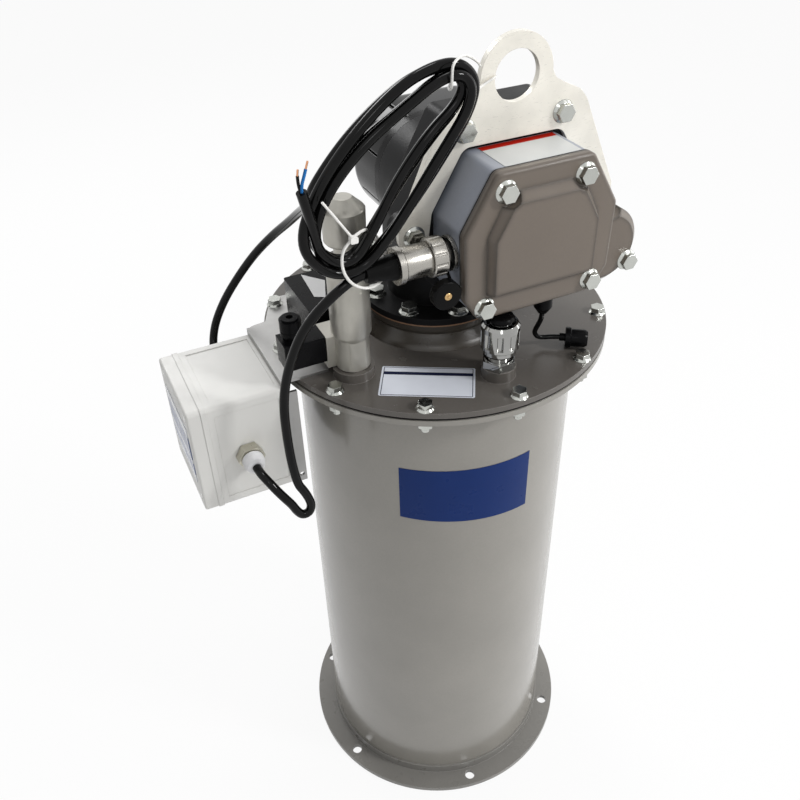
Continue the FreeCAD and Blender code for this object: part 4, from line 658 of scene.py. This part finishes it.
def coil_label():
    """Bare white film on the coil's top."""
    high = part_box("coil_block")[1][2] + LABEL_GAP
    bm = bmesh.new()
    corners = [(-0.128, 0.057), (-0.132, 0.008), (-0.122, 0.002), (-0.110, 0.034)]
    bm.faces.new([bm.verts.new((x, y, high)) for x, y in corners])
    mesh = bpy.data.meshes.new("coil_label")
    bm.to_mesh(mesh)
    bm.free()
    white = film("coil_film", (0.68, 0.68, 0.68), 0.4)
    solid_sheet(new_piece("coil_label", mesh, white), LABEL_THICK)


tank_label()
lid_label()
housing_label()
coil_label()


def lathe(name, profile, segments, material, centre, axis):
    """A turned piece from (radius, distance) points along an axis."""
    bm = bmesh.new()
    turn = Vector((0, 0, 1)).rotation_difference(axis)
    rings = []
    for radius, along in profile:
        if radius == 0:
            rings.append([bm.verts.new(centre + turn @ Vector((0, 0, along)))])
            continue
        ring = []
        for step in range(segments):
            angle = 2 * math.pi * step / segments
            ring.append(bm.verts.new(centre + turn @ Vector(
                (radius * math.cos(angle), radius * math.sin(angle), along))))
        rings.append(ring)
    for low, high in zip(rings, rings[1:]):
        for step in range(segments):
            following = (step + 1) % segments
            corners = [low[step % len(low)], low[following % len(low)],
                       high[following % len(high)], high[step % len(high)]]
            unique = []
            for vert in corners:
                if vert not in unique:
                    unique.append(vert)
            if len(unique) > 2:
                bm.faces.new(unique)
    bmesh.ops.recalc_face_normals(bm, faces=bm.faces[:])
    mesh = bpy.data.meshes.new(name)
    bm.to_mesh(mesh)
    bm.free()
    piece = new_piece(name, mesh, material)
    piece.modifiers.new("smooth", "NODES").node_group = smooth


def cap_screw():
    """Small brass screw that holds the strap on the dust cap."""
    profile = [(0, 0.0016), (0.0012, 0.0016), (0.0013, 0.0008), (0.003, 0.0008),
               (0.0036, 0.0003), (0.0036, -0.0005)]
    lathe("dust_cap_screw", profile, 24, looks["bronze"], mm(-58, -140, 105),
          Vector((0, -1, 0)))


cap_screw()


def short_curve(name, points, dia, material):
    """A short round strand, such as a core or a tie, which rides on the fixed body."""
    curve = cord_curve(name, points, dia)
    curve.data.materials.append(material)
    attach(curve, "base")
    return curve


def cord_end():
    """Two cores leave the sheath, one blue and one black, with bare copper at their tips."""
    blue = film("core_blue", (0.02, 0.16, 0.45), 0.3)
    copper = metal("copper", (0.72, 0.36, 0.2), 0.35, None, 900)
    return [
        short_curve("core_blue", [(-177.6, -125, 220.5), (-177.3, -125.5, 228),
                                  (-174.8, -125.5, 234), (-172.5, -125, 240)], CORE_DIA, blue),
        short_curve("core_black", [(-177.9, -124.5, 220.5), (-178.9, -124, 226),
                                   (-179.4, -124, 231), (-179.3, -124, 235.5)], CORE_DIA,
                    looks["cable"]),
        short_curve("copper_blue", [(-172.6, -125, 239.6), (-171.6, -125, 243),
                                    (-170.4, -125, 245.9)], COPPER_DIA, copper),
        short_curve("copper_black", [(-179.3, -124, 235), (-179, -124, 237.8),
                                     (-178.5, -124, 240.4)], COPPER_DIA, copper),
    ]


cores = cord_end()


def make_ties():
    """Two nylon ties: one binds the hank's foot, the other hangs its top from the eye."""
    nylon = looks["tie"]
    lower = short_curve("tie_lower", [
        (-139.5, -129, 176), (-147, -129.5, 171.6), (-151, -129.5, 162.6), (-150.5, -129.5, 148.7),
        (-144, -129, 136), (-132.5, -126, 126.5), (-119.2, -120, 121.5), (-107, -110, 120),
        (-97, -96, 127), (-100, -93, 149), (-112, -98, 164), (-125, -114, 174),
        (-137, -127, 177),
    ], TIE_LOOP_DIA, nylon)
    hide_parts("zip_ties")
    short_curve("tie_tail", [(-139, -129, 175), (-152.1, -129.5, 195.6), (-163.2, -128.5, 212.4)],
                TIE_DIA, nylon)
    short_curve("tie_upper", [
        (-34, -97, 277), (-41, -104, 272), (-46, -120, 277), (-48.5, -125, 288),
        (-48, -124.5, 297), (-41, -121.5, 301), (-32, -115, 300), (-18, -103, 292.5),
        (-4.3, -90, 283), (0, -84, 279),
    ], TIE_DIA, nylon)
    short_curve("tie_strap", [
        (-8.7, -94, 263), (-2.3, -88.5, 263), (5.4, -87.3, 265.9), (12.5, -87, 268.3),
        (16, -83.5, 268.5), (16.5, -78, 267.5),
    ], TIE_DIA, nylon)
    flat_plate("tie_head", mm(-139.5, -127, 175.5), Vector((1, 0, 0)), Vector((0, 0, 1)),
               0.0068, 0.0058, nylon, thick=0.005, corner=0.0014)


make_ties()


# Floor, light and background


FLOOR_HALF = 6
FLOOR_DROP = -0.0005
FLOOR_WHITE = 0.9      # share of plain white in what the camera sees of the floor
BRIGHT_SIDE = (0.72, -0.30, 0.63)
AIM = (0, 0, 0.6)


def make_floor():
    """A plain pale floor that keeps the object's shadow and shows white to the camera."""
    bm = bmesh.new()
    bmesh.ops.create_grid(bm, x_segments=1, y_segments=1, size=FLOOR_HALF)
    mesh = bpy.data.meshes.new("floor")
    bm.to_mesh(mesh)
    bm.free()
    floor = bpy.data.objects.new("floor", mesh)
    bpy.context.scene.collection.objects.link(floor)
    floor.location.z = FLOOR_DROP
    look = Look("floor")
    look.shader.inputs["Base Color"].default_value = (0.82, 0.82, 0.82, 1)
    look.shader.inputs["Roughness"].default_value = 0.8
    glow = look.add("ShaderNodeEmission")
    glow.inputs["Strength"].default_value = 1.0
    seen = look.add("ShaderNodeLightPath")
    share = look.add("ShaderNodeMath", operation="MAXIMUM")
    look.link(seen.outputs["Is Camera Ray"], share.inputs[0])
    look.link(seen.outputs["Is Glossy Ray"], share.inputs[1])
    part = look.add("ShaderNodeMath", operation="MULTIPLY")
    part.inputs[1].default_value = FLOOR_WHITE
    look.link(share.outputs[0], part.inputs[0])
    mixed = look.add("ShaderNodeMixShader")
    look.link(part.outputs[0], mixed.inputs[0])
    look.link(look.shader.outputs[0], mixed.inputs[1])
    look.link(glow.outputs[0], mixed.inputs[2])
    output = look.tree.nodes["Material Output"]
    look.link(mixed.outputs[0], output.inputs["Surface"])
    floor.data.materials.append(look.material)


def make_world():
    """White to the camera and in metal and glass; else a soft studio, brighter on the right."""
    world = bpy.data.worlds.new("studio")
    bpy.context.scene.world = world
    world.use_nodes = True
    tree = world.node_tree
    add, link = tree.nodes.new, tree.links.new
    background = tree.nodes["Background"]
    background.inputs["Color"].default_value = (1, 1, 1, 1)
    coords = add("ShaderNodeTexCoord")
    dot = add("ShaderNodeVectorMath")
    dot.operation = "DOT_PRODUCT"
    dot.inputs[1].default_value = BRIGHT_SIDE
    link(coords.outputs["Generated"], dot.inputs[0])
    studio = add("ShaderNodeMapRange")
    studio.interpolation_type = "SMOOTHSTEP"
    studio.inputs["From Min"].default_value = -0.5
    studio.inputs["From Max"].default_value = 0.85
    studio.inputs["To Min"].default_value = 0.12
    studio.inputs["To Max"].default_value = 0.85
    link(dot.outputs["Value"], studio.inputs["Value"])
    seen = add("ShaderNodeLightPath")
    clear = add("ShaderNodeMath")
    clear.operation = "MAXIMUM"
    link(seen.outputs["Is Camera Ray"], clear.inputs[0])
    link(seen.outputs["Is Transmission Ray"], clear.inputs[1])
    share = add("ShaderNodeMath")
    share.operation = "MAXIMUM"
    link(clear.outputs[0], share.inputs[0])
    link(seen.outputs["Is Glossy Ray"], share.inputs[1])
    level = add("ShaderNodeMapRange")
    link(share.outputs[0], level.inputs["Value"])
    link(studio.outputs["Result"], level.inputs["To Min"])
    level.inputs["To Max"].default_value = 1.0
    link(level.outputs["Result"], background.inputs["Strength"])


def area_light(name, at, target, size, power, height=None):
    """A soft rectangular lamp that looks at a target."""
    data = bpy.data.lights.new(name, "AREA")
    data.shape = "RECTANGLE"
    data.size = size
    data.size_y = height or size
    data.energy = power
    light = bpy.data.objects.new(name, data)
    bpy.context.scene.collection.objects.link(light)
    light.location = at
    light.rotation_mode = "QUATERNION"
    light.rotation_quaternion = (Vector(target) - Vector(at)).to_track_quat("-Z", "Y")


make_floor()
make_world()
area_light("key", (1.6, -1.7, 2.2), AIM, 0.45, 30)
area_light("fill", (-0.9, -2.2, 2.4), AIM, 0.45, 3.5)
area_light("top", (0.2, 0.5, 3.0), (0, 0, 0.9), 0.6, 11)
area_light("back", (-0.3, 2.4, 2.0), AIM, 0.9, 20)
area_light("strip", (2.0, -0.3, 1.0), (0, 0, 0.5), 0.3, 6, 1.8)
bpy.context.scene.view_settings.view_transform = "Standard"
